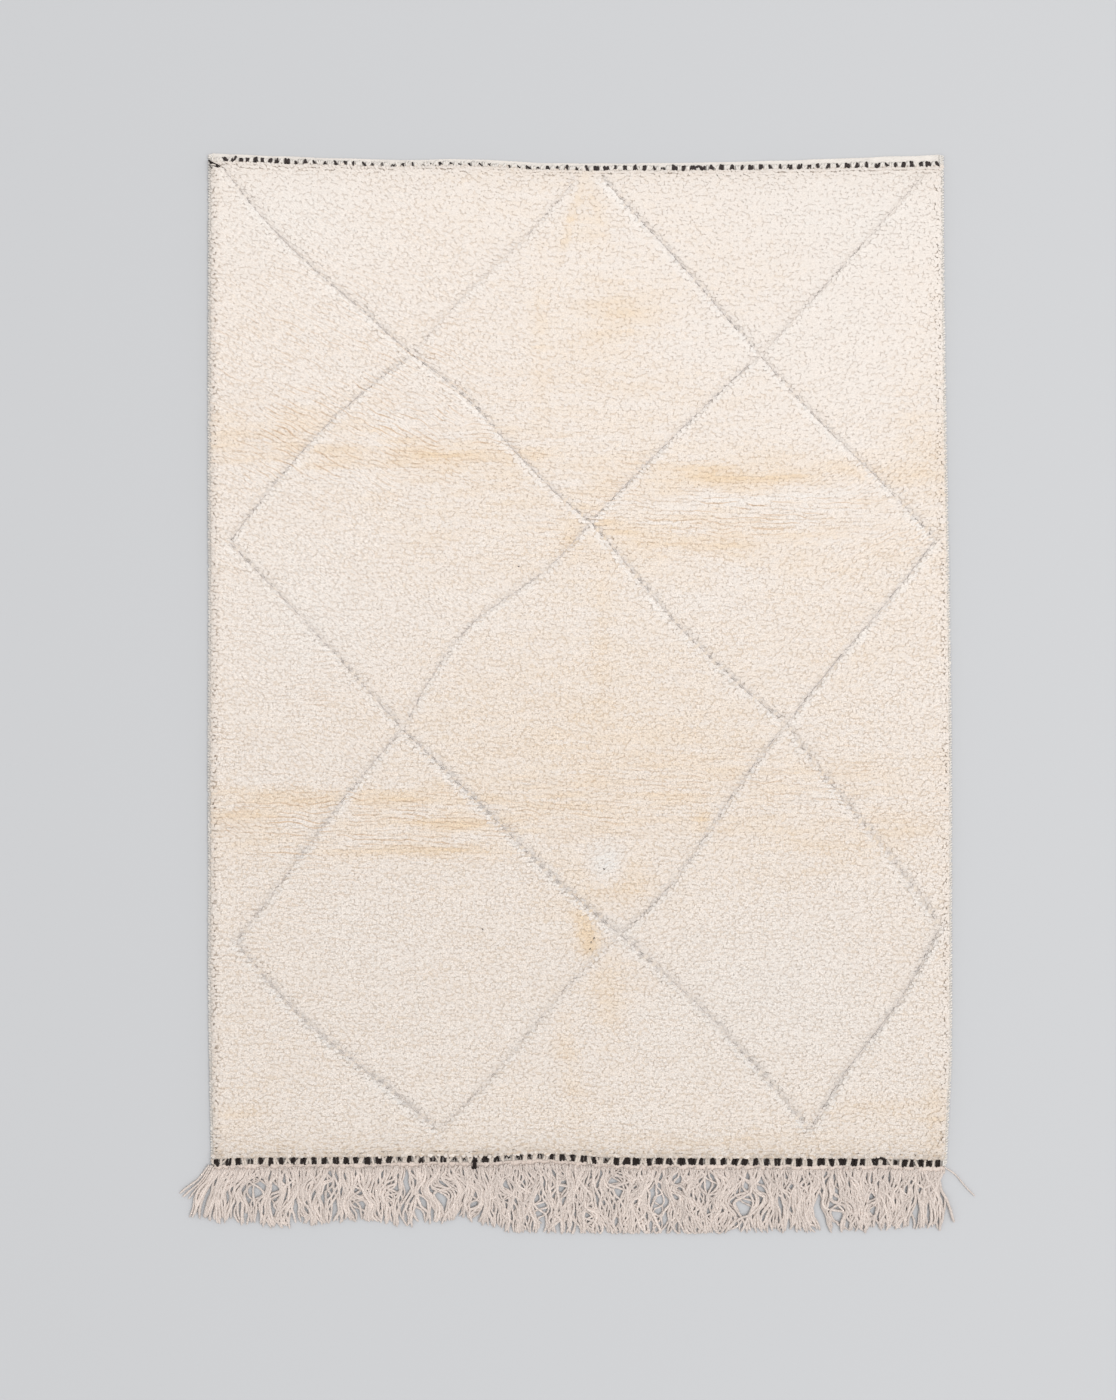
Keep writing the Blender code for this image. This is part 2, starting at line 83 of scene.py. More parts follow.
def newMaterial(name):
    material = bpy.data.materials.new(name)
    material.use_nodes = True
    return material, material.node_tree, material.node_tree.nodes["Principled BSDF"]


def setUpStage():
    scene = bpy.context.scene
    camera = addObject("camera", bpy.data.cameras.new("camera"))
    camera.data.lens = view["lens"]
    camera.location = (view["x"], view["y"], view["height"])
    scene.camera = camera
    scene.view_settings.view_transform = "Standard"

    world = bpy.data.worlds.new("softSky")
    world.use_nodes = True
    sky = world.node_tree.nodes["Background"]
    sky.inputs["Color"].default_value = (*light["skyTone"], 1.0)
    sky.inputs["Strength"].default_value = light["sky"]
    scene.world = world

    lamp = bpy.data.lights.new("softbox", "AREA")
    lamp.shape = "DISK"
    lamp.size = light["keySize"]
    lamp.energy = light["key"]
    softbox = addObject("softbox", lamp)
    softbox.location = light["keyAt"]
    softbox.rotation_euler = (-Vector(light["keyAt"])).to_track_quat("-Z", "Y").to_euler()

    reach, level = floorPlane["reach"], floorPlane["level"]
    corners = [(x * reach, y * reach, level) for x, y in ((-1, -1), (1, -1), (1, 1), (-1, 1))]
    floor = addObject("floor", newMesh("floor", corners, [[0, 1, 2, 3]]))
    material, _, shader = newMaterial("paleFloor")
    shader.inputs["Base Color"].default_value = (*floorPlane["tone"], 1.0)
    shader.inputs["Roughness"].default_value = floorPlane["roughness"]
    floor.data.materials.append(material)


setUpStage()
print("camera, light and floor set")

# the rug's own lines, as in the CAD source, in metres
rug = {
    "width": 1.50,
    "hemEndY": 1.0925,
    "hemSag": 0.019,
    "hemSagX": 0.030,
    "hemSwell": 0.006,
    "fringeEndY": -0.947,
    "leftDrawnIn": 0.007,
    "rightSetIn": 0.007,
    "rightBulge": 0.017,
    "rightDrawnIn": 0.010,
    "gap": 0.0003,
    "pileHeight": 0.0175,
    "pileLumps": 0.0016,
    "pileCrease": 0.0010,
    "groundThickness": 0.0040,
    "topLip": 0.0164,
    "topLipSlant": 0.005,
    "topLipSpread": 0.009,
    "bottomLip": 0.0135,
    "grooveDepth": 0.0038,
    "grooveHalf": 0.0085,
    "grooveStep": 0.046,
    "lineWobble": 0.003,
    "selvedgeWidth": 0.0070,
    "selvedgeHeight": 0.0068,
}

# crossings of the lattice: x, y
crossings = {
    "topLeft": (-0.722, 1.066),
    "topMidA": (-0.008, 1.032),
    "topMidB": (0.050, 1.040),
    "topRight": (0.700, 1.045),
    "upperLeft": (-0.335, 0.682),
    "upperRight": (0.370, 0.681),
    "middleLeft": (-0.705, 0.303),
    "middle": (0.027, 0.343),
    "middleRight": (0.724, 0.306),
    "lowerLeft": (-0.354, -0.076),
    "lowerRight": (0.424, -0.066),
    "lowLeftEdge": (-0.692, -0.507),
    "lowMiddle": (0.084, -0.491),
    "lowRightEdge": (0.735, -0.477),
    "bottomLeft": (-0.282, -0.890),
    "bottomRight": (0.470, -0.890),
}

# lattice lines: from, to, bow towards +Y, bend towards +Y and then -Y, how plainly the line shows
latticeLines = [
    ("topLeft", "upperLeft", -0.024, -0.006, 1.10),
    ("upperLeft", "middle", 0.006, 0.010, 1.10),
    ("middle", "lowerRight", -0.025, 0.003, 1.05),
    ("lowerRight", "lowRightEdge", 0.004, -0.007, 0.90),
    ("topMidB", "upperRight", 0.002, 0.000, 1.20),
    ("upperRight", "middleRight", -0.001, -0.005, 1.05),
    ("topRight", "upperRight", -0.004, 0.000, 0.62),
    ("upperRight", "middle", 0.008, 0.000, 0.85),
    ("middle", "lowerLeft", 0.043, -0.026, 0.75),
    ("lowerLeft", "lowLeftEdge", 0.009, 0.003, 0.85),
    ("topMidA", "upperLeft", -0.001, -0.008, 0.55),
    ("upperLeft", "middleLeft", 0.034, 0.000, 0.85),
    ("middleLeft", "lowerLeft", 0.004, 0.000, 1.00),
    ("lowerLeft", "lowMiddle", -0.009, 0.004, 1.25),
    ("lowMiddle", "bottomRight", 0.021, -0.002, 1.20),
    ("middleRight", "lowerRight", -0.001, -0.004, 0.95),
    ("lowerRight", "lowMiddle", -0.022, 0.014, 0.72),
    ("lowMiddle", "bottomLeft", 0.000, 0.008, 0.60),
    ("lowLeftEdge", "bottomLeft", -0.024, -0.010, 1.35),
    ("lowRightEdge", "bottomRight", -0.010, -0.012, 1.10),
]


def uneven(x, y, scale, seed):
    return noise.noise(Vector((x / scale, y / scale, seed)))


def unevenAt(x, y, scaleX, scaleY, seed):
    spots = zip(x / scaleX, y / scaleY)
    return np.array([noise.noise(Vector((a, b, seed))) for a, b in spots])


def hump(x, centre, width):
    return np.exp(-(((x - centre) / width) ** 2))


def shareDown(y):
    return (rug["hemEndY"] - y) / (rug["hemEndY"] - rug["fringeEndY"])


def leftSide(y):
    drawnIn = rug["leftDrawnIn"] * max(0.0, shareDown(y) - 0.8) / 0.2
    return -rug["width"] / 2 + 0.0025 * uneven(0.0, y, 0.45, 3.7) + drawnIn


def rightSide(y):
    down = shareDown(y)
    bulge = rug["rightBulge"] * (0.5 - 0.5 * cos(pi * min(down / 0.68, 1.0)))
    drawnIn = rug["rightDrawnIn"] * max(0.0, down - 0.9) / 0.1
    return rug["width"] / 2 - rug["rightSetIn"] + bulge - drawnIn


def hemEdge(x):
    sag = rug["hemSag"] * np.cos(pi * (x - rug["hemSagX"]) / rug["width"])
    return rug["hemEndY"] - sag + rug["hemSwell"] * hump(x, -0.22, 0.10)


def hemFoot(x):
    return hemEdge(x) - rug["topLip"] - rug["topLipSlant"] * x - rug["topLipSpread"] * x * x


def fringeFoot(x):
    rise = 0.0095 * hump(x, -0.07, 0.10) + 0.004 * hump(x, -0.30, 0.10)
    return rug["fringeEndY"] - 0.002 * x + rise - 0.0035 * hump(abs(x), 0.75, 0.08)


def lipEdge(x):
    return fringeFoot(x) - rug["bottomLip"]


def latticeLine(start, end, bow, bend, number):
    (x0, y0), (x1, y1) = crossings[start], crossings[end]
    steps = round(dist((x0, y0), (x1, y1)) / rug["grooveStep"])
    points = []
    for i in range(steps + 1):
        t = i / steps
        held = sin(pi * t)
        wander = rug["lineWobble"] * held * uneven(2.5 * t, 0.0, 0.7, 11.3 + number)
        y = y0 + (y1 - y0) * t + bow * held + bend * sin(2 * pi * t) + wander
        points.append((x0 + (x1 - x0) * t + wander, y))
    return points


lattice = [latticeLine(*row[:4], number) for number, row in enumerate(latticeLines)]


def nearestLine(x, y):
    best = np.full(len(x), 9.0)
    awayX, awayY, strength = (np.zeros(len(x)) for _ in range(3))
    for row, line in zip(latticeLines, lattice):
        for (ax, ay), (bx, by) in zip(line, line[1:]):
            dx, dy = bx - ax, by - ay
            t = np.clip(((x - ax) * dx + (y - ay) * dy) / (dx * dx + dy * dy), 0, 1)
            offX, offY = x - ax - dx * t, y - ay - dy * t
            reach = np.hypot(offX, offY)
            nearer = reach < best
            best[nearer] = reach[nearer]
            awayX[nearer] = (offX / np.maximum(reach, 1e-6))[nearer]
            awayY[nearer] = (offY / np.maximum(reach, 1e-6))[nearer]
            strength[nearer] = row[4]
    # the lines break up here and there
    breaks = 0.8 * unevenAt(x, y, 0.045, 0.045, 27.0) + 0.5 * unevenAt(x, y, 0.012, 0.012, 28.0)
    strength *= np.clip(1.0 + breaks, 0.3, 1.3)
    return best, awayX, awayY, strength


def pileTop(x, y, away):
    lumps = rug["pileLumps"] * (unevenAt(x, y, 0.16, 0.16, 5.1) + 0.7 * unevenAt(x, y, 0.06, 0.06, 8.9))
    crease = rug["pileCrease"] * unevenAt(0.35 * x, y, 0.035, 0.035, 2.2)
    groove = rug["grooveDepth"] * np.exp(-((1.25 * away / rug["grooveHalf"]) ** 2))
    return rug["pileHeight"] + lumps + crease - groove


def sideLines(y):
    known = np.linspace(-1.0, 1.15, 500)
    left = np.interp(y, known, [leftSide(v) for v in known])
    right = np.interp(y, known, [rightSide(v) for v in known])
    return left, right


def addNode(tree, kind, inputs=None, **settings):
    # one node, with its settings, and its inputs as values or as sockets to link
    node = tree.nodes.new(kind)
    for name, value in settings.items():
        setattr(node, name, value)
    for name, value in (inputs or {}).items():
        if isinstance(value, bpy.types.NodeSocket):
            tree.links.new(value, node.inputs[name])
        else:
            node.inputs[name].default_value = value
    return node


def growTree(name, inputs):
    # a Geometry Nodes tree with its named inputs: name, kind
    tree = bpy.data.node_groups.new(name, "GeometryNodeTree")
    face = tree.interface
    face.new_socket("Geometry", in_out="INPUT", socket_type="NodeSocketGeometry")
    for label, kind in inputs.items():
        face.new_socket(label, in_out="INPUT", socket_type="NodeSocket" + kind)
    face.new_socket("Geometry", in_out="OUTPUT", socket_type="NodeSocketGeometry")
    return tree, tree.nodes.new("NodeGroupInput").outputs, tree.nodes.new("NodeGroupOutput").inputs


def named(tree, name, kind="FLOAT"):
    node = addNode(tree, "GeometryNodeInputNamedAttribute", {"Name": name}, data_type=kind)
    return node.outputs["Attribute"]


def calc(tree, operation, *values):
    # one step of arithmetic on sockets or numbers
    return addNode(tree, "ShaderNodeMath", dict(enumerate(values)), operation=operation).outputs[0]


def product(tree, first, second):
    return addNode(tree, "ShaderNodeVectorMath", {0: first, 1: second}, operation="MULTIPLY").outputs[0]


def endTree(tree, shape, wool, out):
    real = addNode(tree, "GeometryNodeRealizeInstances", {"Geometry": shape})
    done = addNode(tree, "GeometryNodeSetMaterial", {"Geometry": real.outputs[0], "Material": wool})
    tree.links.new(done.outputs[0], out["Geometry"])
    return tree


def grow(name, points, attributes, tree, values, edges=()):
    # points with their attributes go through the tree and come out as one plain mesh
    seedMesh = newMesh(name + "Points", np.asarray(points).tolist(), [], edges)
    for label, data in attributes.items():
        data = np.asarray(data, np.float32)
        kind, field = ("FLOAT_VECTOR", "vector") if data.ndim == 2 else ("FLOAT", "value")
        seedMesh.attributes.new(label, kind, "POINT").data.foreach_set(field, data.ravel())
    seedling = addObject(name + "Points", seedMesh)
    modifier = seedling.modifiers.new(tree.name, "NODES")
    modifier.node_group = tree
    for item in tree.interface.items_tree:
        if item.in_out == "INPUT" and item.name in values:
            modifier[item.identifier] = values[item.name]
    graph = bpy.context.evaluated_depsgraph_get()
    mesh = bpy.data.meshes.new_from_object(
        seedling.evaluated_get(graph), preserve_all_data_layers=True, depsgraph=graph
    )
    seedling.modifiers.remove(modifier)
    bpy.data.objects.remove(seedling)
    bpy.data.meshes.remove(seedMesh)
    mesh.name = name
    return addObject(name, mesh)


def addShape(name, points, faces, collection, depths):
    # a shape for the tree to pick from, with its depth; the rim's edges are sharp
    mesh = newMesh(name, points, faces)
    mesh.shade_smooth()
    mesh.attributes.new("depth", "FLOAT", "POINT").data.foreach_set("value", depths)
    for edge in mesh.edges:
        edge.use_edge_sharp = all(depths[v] == 1.0 for v in edge.vertices)
    collection.objects.link(bpy.data.objects.new(name, mesh))


def dress(piece, node=None):
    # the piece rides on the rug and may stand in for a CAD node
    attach(piece, "root")
    if node:
        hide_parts(node)


# the knotted pile, with its tufts and how they vary
pile = {
    "rowPitch": 0.0064,
    "knotPitch": 0.0073,
    "tuftWidth": 0.0056,
    "tuftLength": 0.0043,
    "tuftHeight": 0.0010,
    "unevenness": 0.16,
    "heightJitter": 0.0003,
    "lean": 0.06,
    "parting": 0.0022,
    "wander": 0.0016,
    "rowWave": 0.0060,
    "ragged": 0.0022,
    "opening": 0.0016,
    "bedDrop": 0.0020,
    "rimLevel": 0.0045,
    "splitY": 0.065,
    "rimLocks": 118,
    "seed": 11,
}

# stains, streaky along the rows: x, y, half width, half height, warmth; some with a turn in degrees
stains = [
    (-0.05, 0.4, 0.42, 0.11, 0.2), (0.35, 0.27, 0.4, 0.06, 0.16), (0.25, 0.61, 0.16, 0.05, 0.16),
    (-0.17, 0.47, 0.12, 0.045, 0.14), (0.15, -0.27, 0.4, 0.025, 0.2), (0.13, -0.56, 0.05, 0.08, 0.14),
    (0.4, -0.915, 0.35, 0.018, 0.2), (-0.69, -0.28, 0.1, 0.045, 0.14), (0.7, 0.5, 0.08, 0.11, 0.22),
    (0.045, 0.7, 0.13, 0.1, 0.14), (0.02, -0.4, 0.08, 0.1, 0.24, -20), (0.065, -0.6, 0.06, 0.12, 0.16),
    (0.45, -0.17, 0.32, 0.045, 0.22), (0.45, -0.34, 0.16, 0.06, 0.16), (0.64, -0.855, 0.13, 0.04, 0.28),
    (0.025, 0.945, 0.035, 0.05, 0.28), (-0.6, -0.24, 0.2, 0.045, 0.12),
    (-0.24, -0.19, 0.07, 0.03, 0.18), (-0.3, 0.48, 0.15, 0.026, 0.34), (-0.43, 0.487, 0.33, 0.03, 0.28),
    (-0.57, 0.55, 0.17, 0.03, 0.3), (-0.706, 0.5, 0.05, 0.04, 0.3), (0.31, 0.436, 0.17, 0.02, 0.52),
    (0.42, 0.447, 0.34, 0.026, 0.28), (0.27, 0.306, 0.16, 0.022, 0.48),
    (0.07, 0.345, 0.06, 0.03, 0.35, -20), (-0.009, 0.31, 0.022, 0.026, 0.6, -20),
    (-0.012, 0.96, 0.01, 0.085, 0.45, -17), (0.042, 0.97, 0.01, 0.07, 0.28, 17),
    (-0.076, 0.71, 0.018, 0.17, 0.22), (0.092, 0.775, 0.085, 0.06, 0.42),
    (0.05, 0.115, 0.018, 0.19, 0.22), (-0.42, -0.215, 0.34, 0.018, 0.45),
    (-0.27, -0.268, 0.16, 0.012, 0.5), (-0.33, -0.323, 0.2, 0.009, 0.6),
    (-0.64, -0.25, 0.1, 0.02, 0.35), (0.05, -0.207, 0.2, 0.03, 0.3), (0.11, -0.1, 0.32, 0.08, 0.16),
    (0.6, -0.29, 0.17, 0.045, 0.26), (0.252, -0.255, 0.018, 0.02, 0.55),
    (0.113, -0.379, 0.038, 0.04, 0.36), (0.018, -0.485, 0.02, 0.056, 0.95, 14),
    (-0.018, -0.74, 0.026, 0.12, 0.34, 8), (0.063, -0.63, 0.03, 0.11, 0.26),
    (0.722, -0.865, 0.022, 0.08, 0.4), (-0.69, -0.874, 0.05, 0.03, 0.35),
    (0.06, -0.02, 0.34, 0.2, 0.14), (0.058, -0.346, 0.034, 0.034, -0.9),
    (-0.54, 0.13, 0.16, 0.15, -0.25), (-0.47, -0.48, 0.16, 0.14, -0.15),
    (0.39, -0.65, 0.22, 0.16, -0.22), (0.09, -0.491, 0.06, 0.03, -0.4, -30),
    (0.45, 0.395, 0.2, 0.009, -0.45, 4), (-0.6, 0.96, 0.16, 0.12, -0.22), (0.56, 0.98, 0.22, 0.1, -0.2),
    (0.55, 0.72, 0.16, 0.16, -0.12),
]


def warmthAt(x, y):
    warmth = 0.12 * unevenAt(x, y, 0.30, 0.20, 2.4)
    streaks = unevenAt(x, y, 0.090, 0.0110, 6.6)
    warmth += (0.12 + 0.26 * creaseAt(x, y)) * streaks
    for cx, cy, halfX, halfY, change, *turn in stains:
        angle = radians(turn[0] if turn else 0)
        cosine, sine = cos(angle), sin(angle)
        along = (x - cx) * cosine + (y - cy) * sine
        across = (y - cy) * cosine - (x - cx) * sine
        warmth += change * np.exp(-((along / halfX) ** 2) - (across / halfY) ** 2) * (1 + 0.6 * streaks)
    return warmth


def creaseAt(x, y):
    # bands where the rows stand out as long wavy creases
    left = hump(x, -0.42, 0.38) * (hump(y, 0.500, 0.070) + hump(y, -0.270, 0.060))
    right = hump(x, 0.33, 0.42) * (0.9 * hump(y, 0.370, 0.080) + 0.5 * hump(y, -0.20, 0.09))
    return np.clip(left + right + 0.2 * hump(y, -0.90, 0.03), 0, 1)


def slantAt(x, y):
    # the wool lies along the rows, dipping to the right on the upper left and rising on the upper right
    left = -0.50 * hump(x, -0.55, 0.45) * hump(y, 0.70, 0.60)
    right = 0.35 * hump(x, 0.65, 0.25) * hump(y, 0.45, 0.45)
    slant = left + right + 0.40 * unevenAt(x, y, 0.12, 0.08, 13.0)
    return slant * (1 - 0.4 * creaseAt(x, y))


def calmAt(x, y):
    # how smooth the face of the pile is: most on the upper right
    upwards = 0.50 * y.clip(0) + 0.20 * y.clip(None, 0)
    return np.clip(0.30 + upwards + 0.40 * hump(x, 0.50, 0.50) * hump(y, 0.95, 0.50), 0, 1)


def napAt(y):
    # painted light and shade of the nap, which leans towards the fringe: the wool is drawn paler near the
    # hem
    return 0.038 * np.sin(0.5 * pi * np.clip(y / 0.9, -1, 1)) - 0.012


def foldsAt(x, y):
    # how deep the painted shade in the fine folds between the rows is
    depth = 0.14 + 1.15 * creaseAt(x, y) + 0.25 * hump(x, -0.60, 0.35) * hump(y, 0.10, 0.80)
    depth += 0.55 * hump(x, -0.40, 0.38) * hump(y, 0.66, 0.20)
    patchy = (1 + 1.2 * unevenAt(x, y, 0.11, 0.022, 5.5)).clip(0.2, 1.8)
    return depth * (1 - 0.7 * calmAt(x, y)) * patchy


def layKnots():
    rows = round((rug["hemEndY"] - rug["fringeEndY"] - rug["hemSag"]) / pile["rowPitch"])
    columns = round(rug["width"] / pile["knotPitch"])
    row, column = np.divmod(np.arange(rows * columns), columns)
    y = rug["fringeEndY"] + (row + 0.5) * pile["rowPitch"]
    left, right = sideLines(y)
    inset = rug["selvedgeWidth"] - 0.0005
    stagger = 0.25 + 0.5 * (row % 2)
    x = left + inset + (right - left - 2 * inset) * (column + stagger) / columns
    foot, top = fringeFoot(x), hemFoot(x)
    y = foot + 0.0045 + (top - foot - 0.0060) * (row + 0.5) / rows
    rim = np.minimum.reduce([x - left, right - x, y - foot, top - y])

    # rows wave, and knots crowd together here and part there
    held = np.clip(rim / 0.02, 0, 1)
    dice = np.random.default_rng(pile["seed"] + 1)
    wander = pile["wander"]
    shiftX = wander * unevenAt(x, y, 0.016, 0.010, 3.1) + wander * dice.normal(size=len(x)) * held
    shiftY = pile["rowWave"] * unevenAt(x, y, 0.110, 0.050, 9.2) * held
    byLine = np.exp(-((nearestLine(x, y)[0] / 0.020) ** 2))
    shiftY += pile["parting"] * (1 + 0.8 * byLine) * unevenAt(x, y, 0.026, 0.0085, 17.4)
    shiftY += wander * dice.normal(size=len(x)) * (1 - 0.7 * creaseAt(x, y)) * held
    # the rim is ragged, less so at the hem end
    loose = (1 - held) * np.where(y > 0, 0.5, 1.0)
    uneasy = pile["ragged"] * unevenAt(x, y, 0.022, 1.0, 71.0)
    shiftY += loose * (uneasy + 0.0010 * dice.normal(size=len(x)))
    besideEdge = 1 - np.clip(np.minimum(x - left, right - x) / 0.02, 0, 1)
    shiftX += besideEdge * pile["ragged"] * unevenAt(x, y, 1.0, 0.016, 73.0)
    x, y = x + shiftX, y + shiftY

    # and part along the lattice
    away, awayX, awayY, plain = nearestLine(x, y)
    push = pile["opening"] * plain * np.exp(-((away / 0.0070) ** 2)) * (away > 1e-5)
    x, y = x + 0.8 * push * awayX, y + 1.15 * push * awayY
    return x, y, away + push, plain, awayY


def rimRounding(x, y):
    left, right = sideLines(y)
    edge = np.minimum(x - left, right - x) - rug["selvedgeWidth"]
    end = np.minimum(y - fringeFoot(x), hemFoot(x) - y)
    rim = np.clip(np.minimum(edge, end) / 0.013, 0.0, 1.0)
    return np.sqrt(1 - (1 - rim) ** 2)


def tuftShapes(collection):
    # five-sided tuft ends, each with a tip, an uneven rim and a root that is out of sight
    dice = np.random.default_rng(pile["seed"])
    for number in range(8):
        points, depths = [(0.18 * dice.normal(), 0.18 * dice.normal(), 0.0)], [0.0]
        for side in range(5):
            angle = radians(72 * side + 180 * (number % 2) + 18) + 0.22 * dice.normal()
            reach = 1.0 + 0.13 * dice.normal()
            points.append((reach * cos(angle), reach * sin(angle), -1.0 + 0.22 * dice.normal()))
            depths.append(1.0)
        points.append((0.0, 0.0, -3.6))
        depths.append(2.0)
        faces = [[0, 1 + side, 1 + (side + 1) % 5] for side in range(5)]
        faces += [[6, 1 + (side + 1) % 5, 1 + side] for side in range(5)]
        addShape("tuft" + str(number), points, faces, collection, depths)


def tuftTree():
    tree, given, out = growTree(
        "pileTufts",
        {
            "Tufts": "Collection",
            "Tuft length": "Float",
            "Tuft width": "Float",
            "Tuft height": "Float",
            "Unevenness": "Float",
            "Seed": "Int",
            "Wool": "Material",
        },
    )
    tufts = addNode(
        tree, "GeometryNodeCollectionInfo",
        {"Collection": given["Tufts"], "Separate Children": True, "Reset Children": True},
    )
    width, length, height = (given["Tuft " + side] for side in ("width", "length", "height"))
    sizes = addNode(tree, "ShaderNodeCombineXYZ", {"X": width, "Y": length, "Z": height})
    jitter = addNode(tree, "FunctionNodeRandomValue", {"Seed": given["Seed"]}, data_type="FLOAT_VECTOR")
    tree.links.new(calc(tree, "SUBTRACT", 1.0, given["Unevenness"]), jitter.inputs["Min"])
    tree.links.new(calc(tree, "ADD", 1.0, given["Unevenness"]), jitter.inputs["Max"])
    scaled = product(tree, sizes.outputs[0], named(tree, "size", "FLOAT_VECTOR"))
    placed = addNode(
        tree, "GeometryNodeInstanceOnPoints",
        {
            "Points": given["Geometry"],
            "Instance": tufts.outputs[0],
            "Pick Instance": True,
            "Rotation": named(tree, "turn", "FLOAT_VECTOR"),
            "Scale": product(tree, scaled, jitter.outputs["Value"]),
        },
    )
    return endTree(tree, placed.outputs[0], given["Wool"], out)


woolTones = {
    "ivory": (0.742, 0.671, 0.608),
    "warm": (0.725, 0.575, 0.415),
    "cool": (0.740, 0.720, 0.690),
    # painted shade in the creases and low on the tufts
    "creviceShade": (0.590, 0.440, 0.315),
    # painted shade in the gaps between the knots
    "gap": (0.550, 0.450, 0.355),
    "grey": (0.595, 0.552, 0.515),
}


def mixColours(tree, factor, first, second, blend="MIX"):
    node = addNode(tree, "ShaderNodeMix", data_type="RGBA", blend_type=blend)
    for socket, value in ((0, factor), (6, first), (7, second)):
        if isinstance(value, bpy.types.NodeSocket):
            tree.links.new(value, node.inputs[socket])
        else:
            node.inputs[socket].default_value = (*value, 1.0) if isinstance(value, tuple) else value
    return node.outputs[2]


def attribute(tree, name):
    return addNode(tree, "ShaderNodeAttribute", attribute_name=name).outputs["Fac"]


def ranged(tree, value, low, high, least, most):
    node = addNode(tree, "ShaderNodeMapRange", {"Value": value})
    for socket, number in zip((1, 2, 3, 4), (low, high, least, most)):
        node.inputs[socket].default_value = number
    return node.outputs[0]


def mixValues(tree, factor, first, second):
    node = addNode(tree, "ShaderNodeMix", data_type="FLOAT")
    for socket, value in zip((0, 2, 3), (factor, first, second)):
        tree.links.new(value, node.inputs[socket])
    return node.outputs[0]


def noiseOver(tree, place, scale, detail, roughness=0.5):
    inputs = {"Vector": place, "Scale": scale, "Detail": detail, "Roughness": roughness}
    return addNode(tree, "ShaderNodeTexNoise", inputs).outputs[0]


def objectPlace(tree):
    return addNode(tree, "ShaderNodeTexCoord").outputs["Object"]


def toned(tree, colour, tone):
    # the colour made lighter or darker by one number
    shade = addNode(tree, "ShaderNodeCombineColor", {0: tone, 1: tone, 2: tone})
    return mixColours(tree, 1.0, colour, shade.outputs[0], "MULTIPLY")


def finishWool(tree, shader, colour, height, strength, distance, sheen=0.2, gloss=0.15, fuzz=0.6):
    # matt wool: its colour, a fine bump and a soft sheen
    tree.links.new(colour, shader.inputs["Base Color"])
    bump = addNode(tree, "ShaderNodeBump", {"Strength": strength, "Distance": distance, "Height": height})
    tree.links.new(bump.outputs[0], shader.inputs["Normal"])
    shader.inputs["Roughness"].default_value = 0.95
    shader.inputs["Specular IOR Level"].default_value = gloss
    shader.inputs["Sheen Weight"].default_value = sheen
    shader.inputs["Sheen Roughness"].default_value = fuzz


def turnedPlace(tree, place, turn, scale=(1.0, 1.0, 1.0)):
    node = addNode(tree, "ShaderNodeMapping", {"Vector": place}, vector_type="TEXTURE")
    node.inputs["Rotation"].default_value = (0.0, 0.0, radians(turn))
    node.inputs["Scale"].default_value = scale
    return node.outputs[0]


def strokes(tree, place, turn, long, high):
    # noise drawn out along the wool: cells of long by high metres
    return noiseOver(tree, turnedPlace(tree, place, turn, (long, high, 1.0)), 1.0, 1.0)


def hairlines(tree, place, turn):
    # painted shade of long wavy folds, broken here and there
    inputs = {"Vector": turnedPlace(tree, place, turn), "Scale": 32.0, "Distortion": 8.0, "Detail": 1.0}
    wave = addNode(tree, "ShaderNodeTexWave", {**inputs, "Detail Scale": 0.62}, bands_direction="Y")
    line = ranged(tree, wave.outputs["Fac"], 0.72, 1.0, 0.0, 1.0)
    broken = ranged(tree, strokes(tree, place, turn, 0.060, 0.0075), 0.40, 0.56, 0.0, 0.95)
    return calc(tree, "MULTIPLY", line, broken)


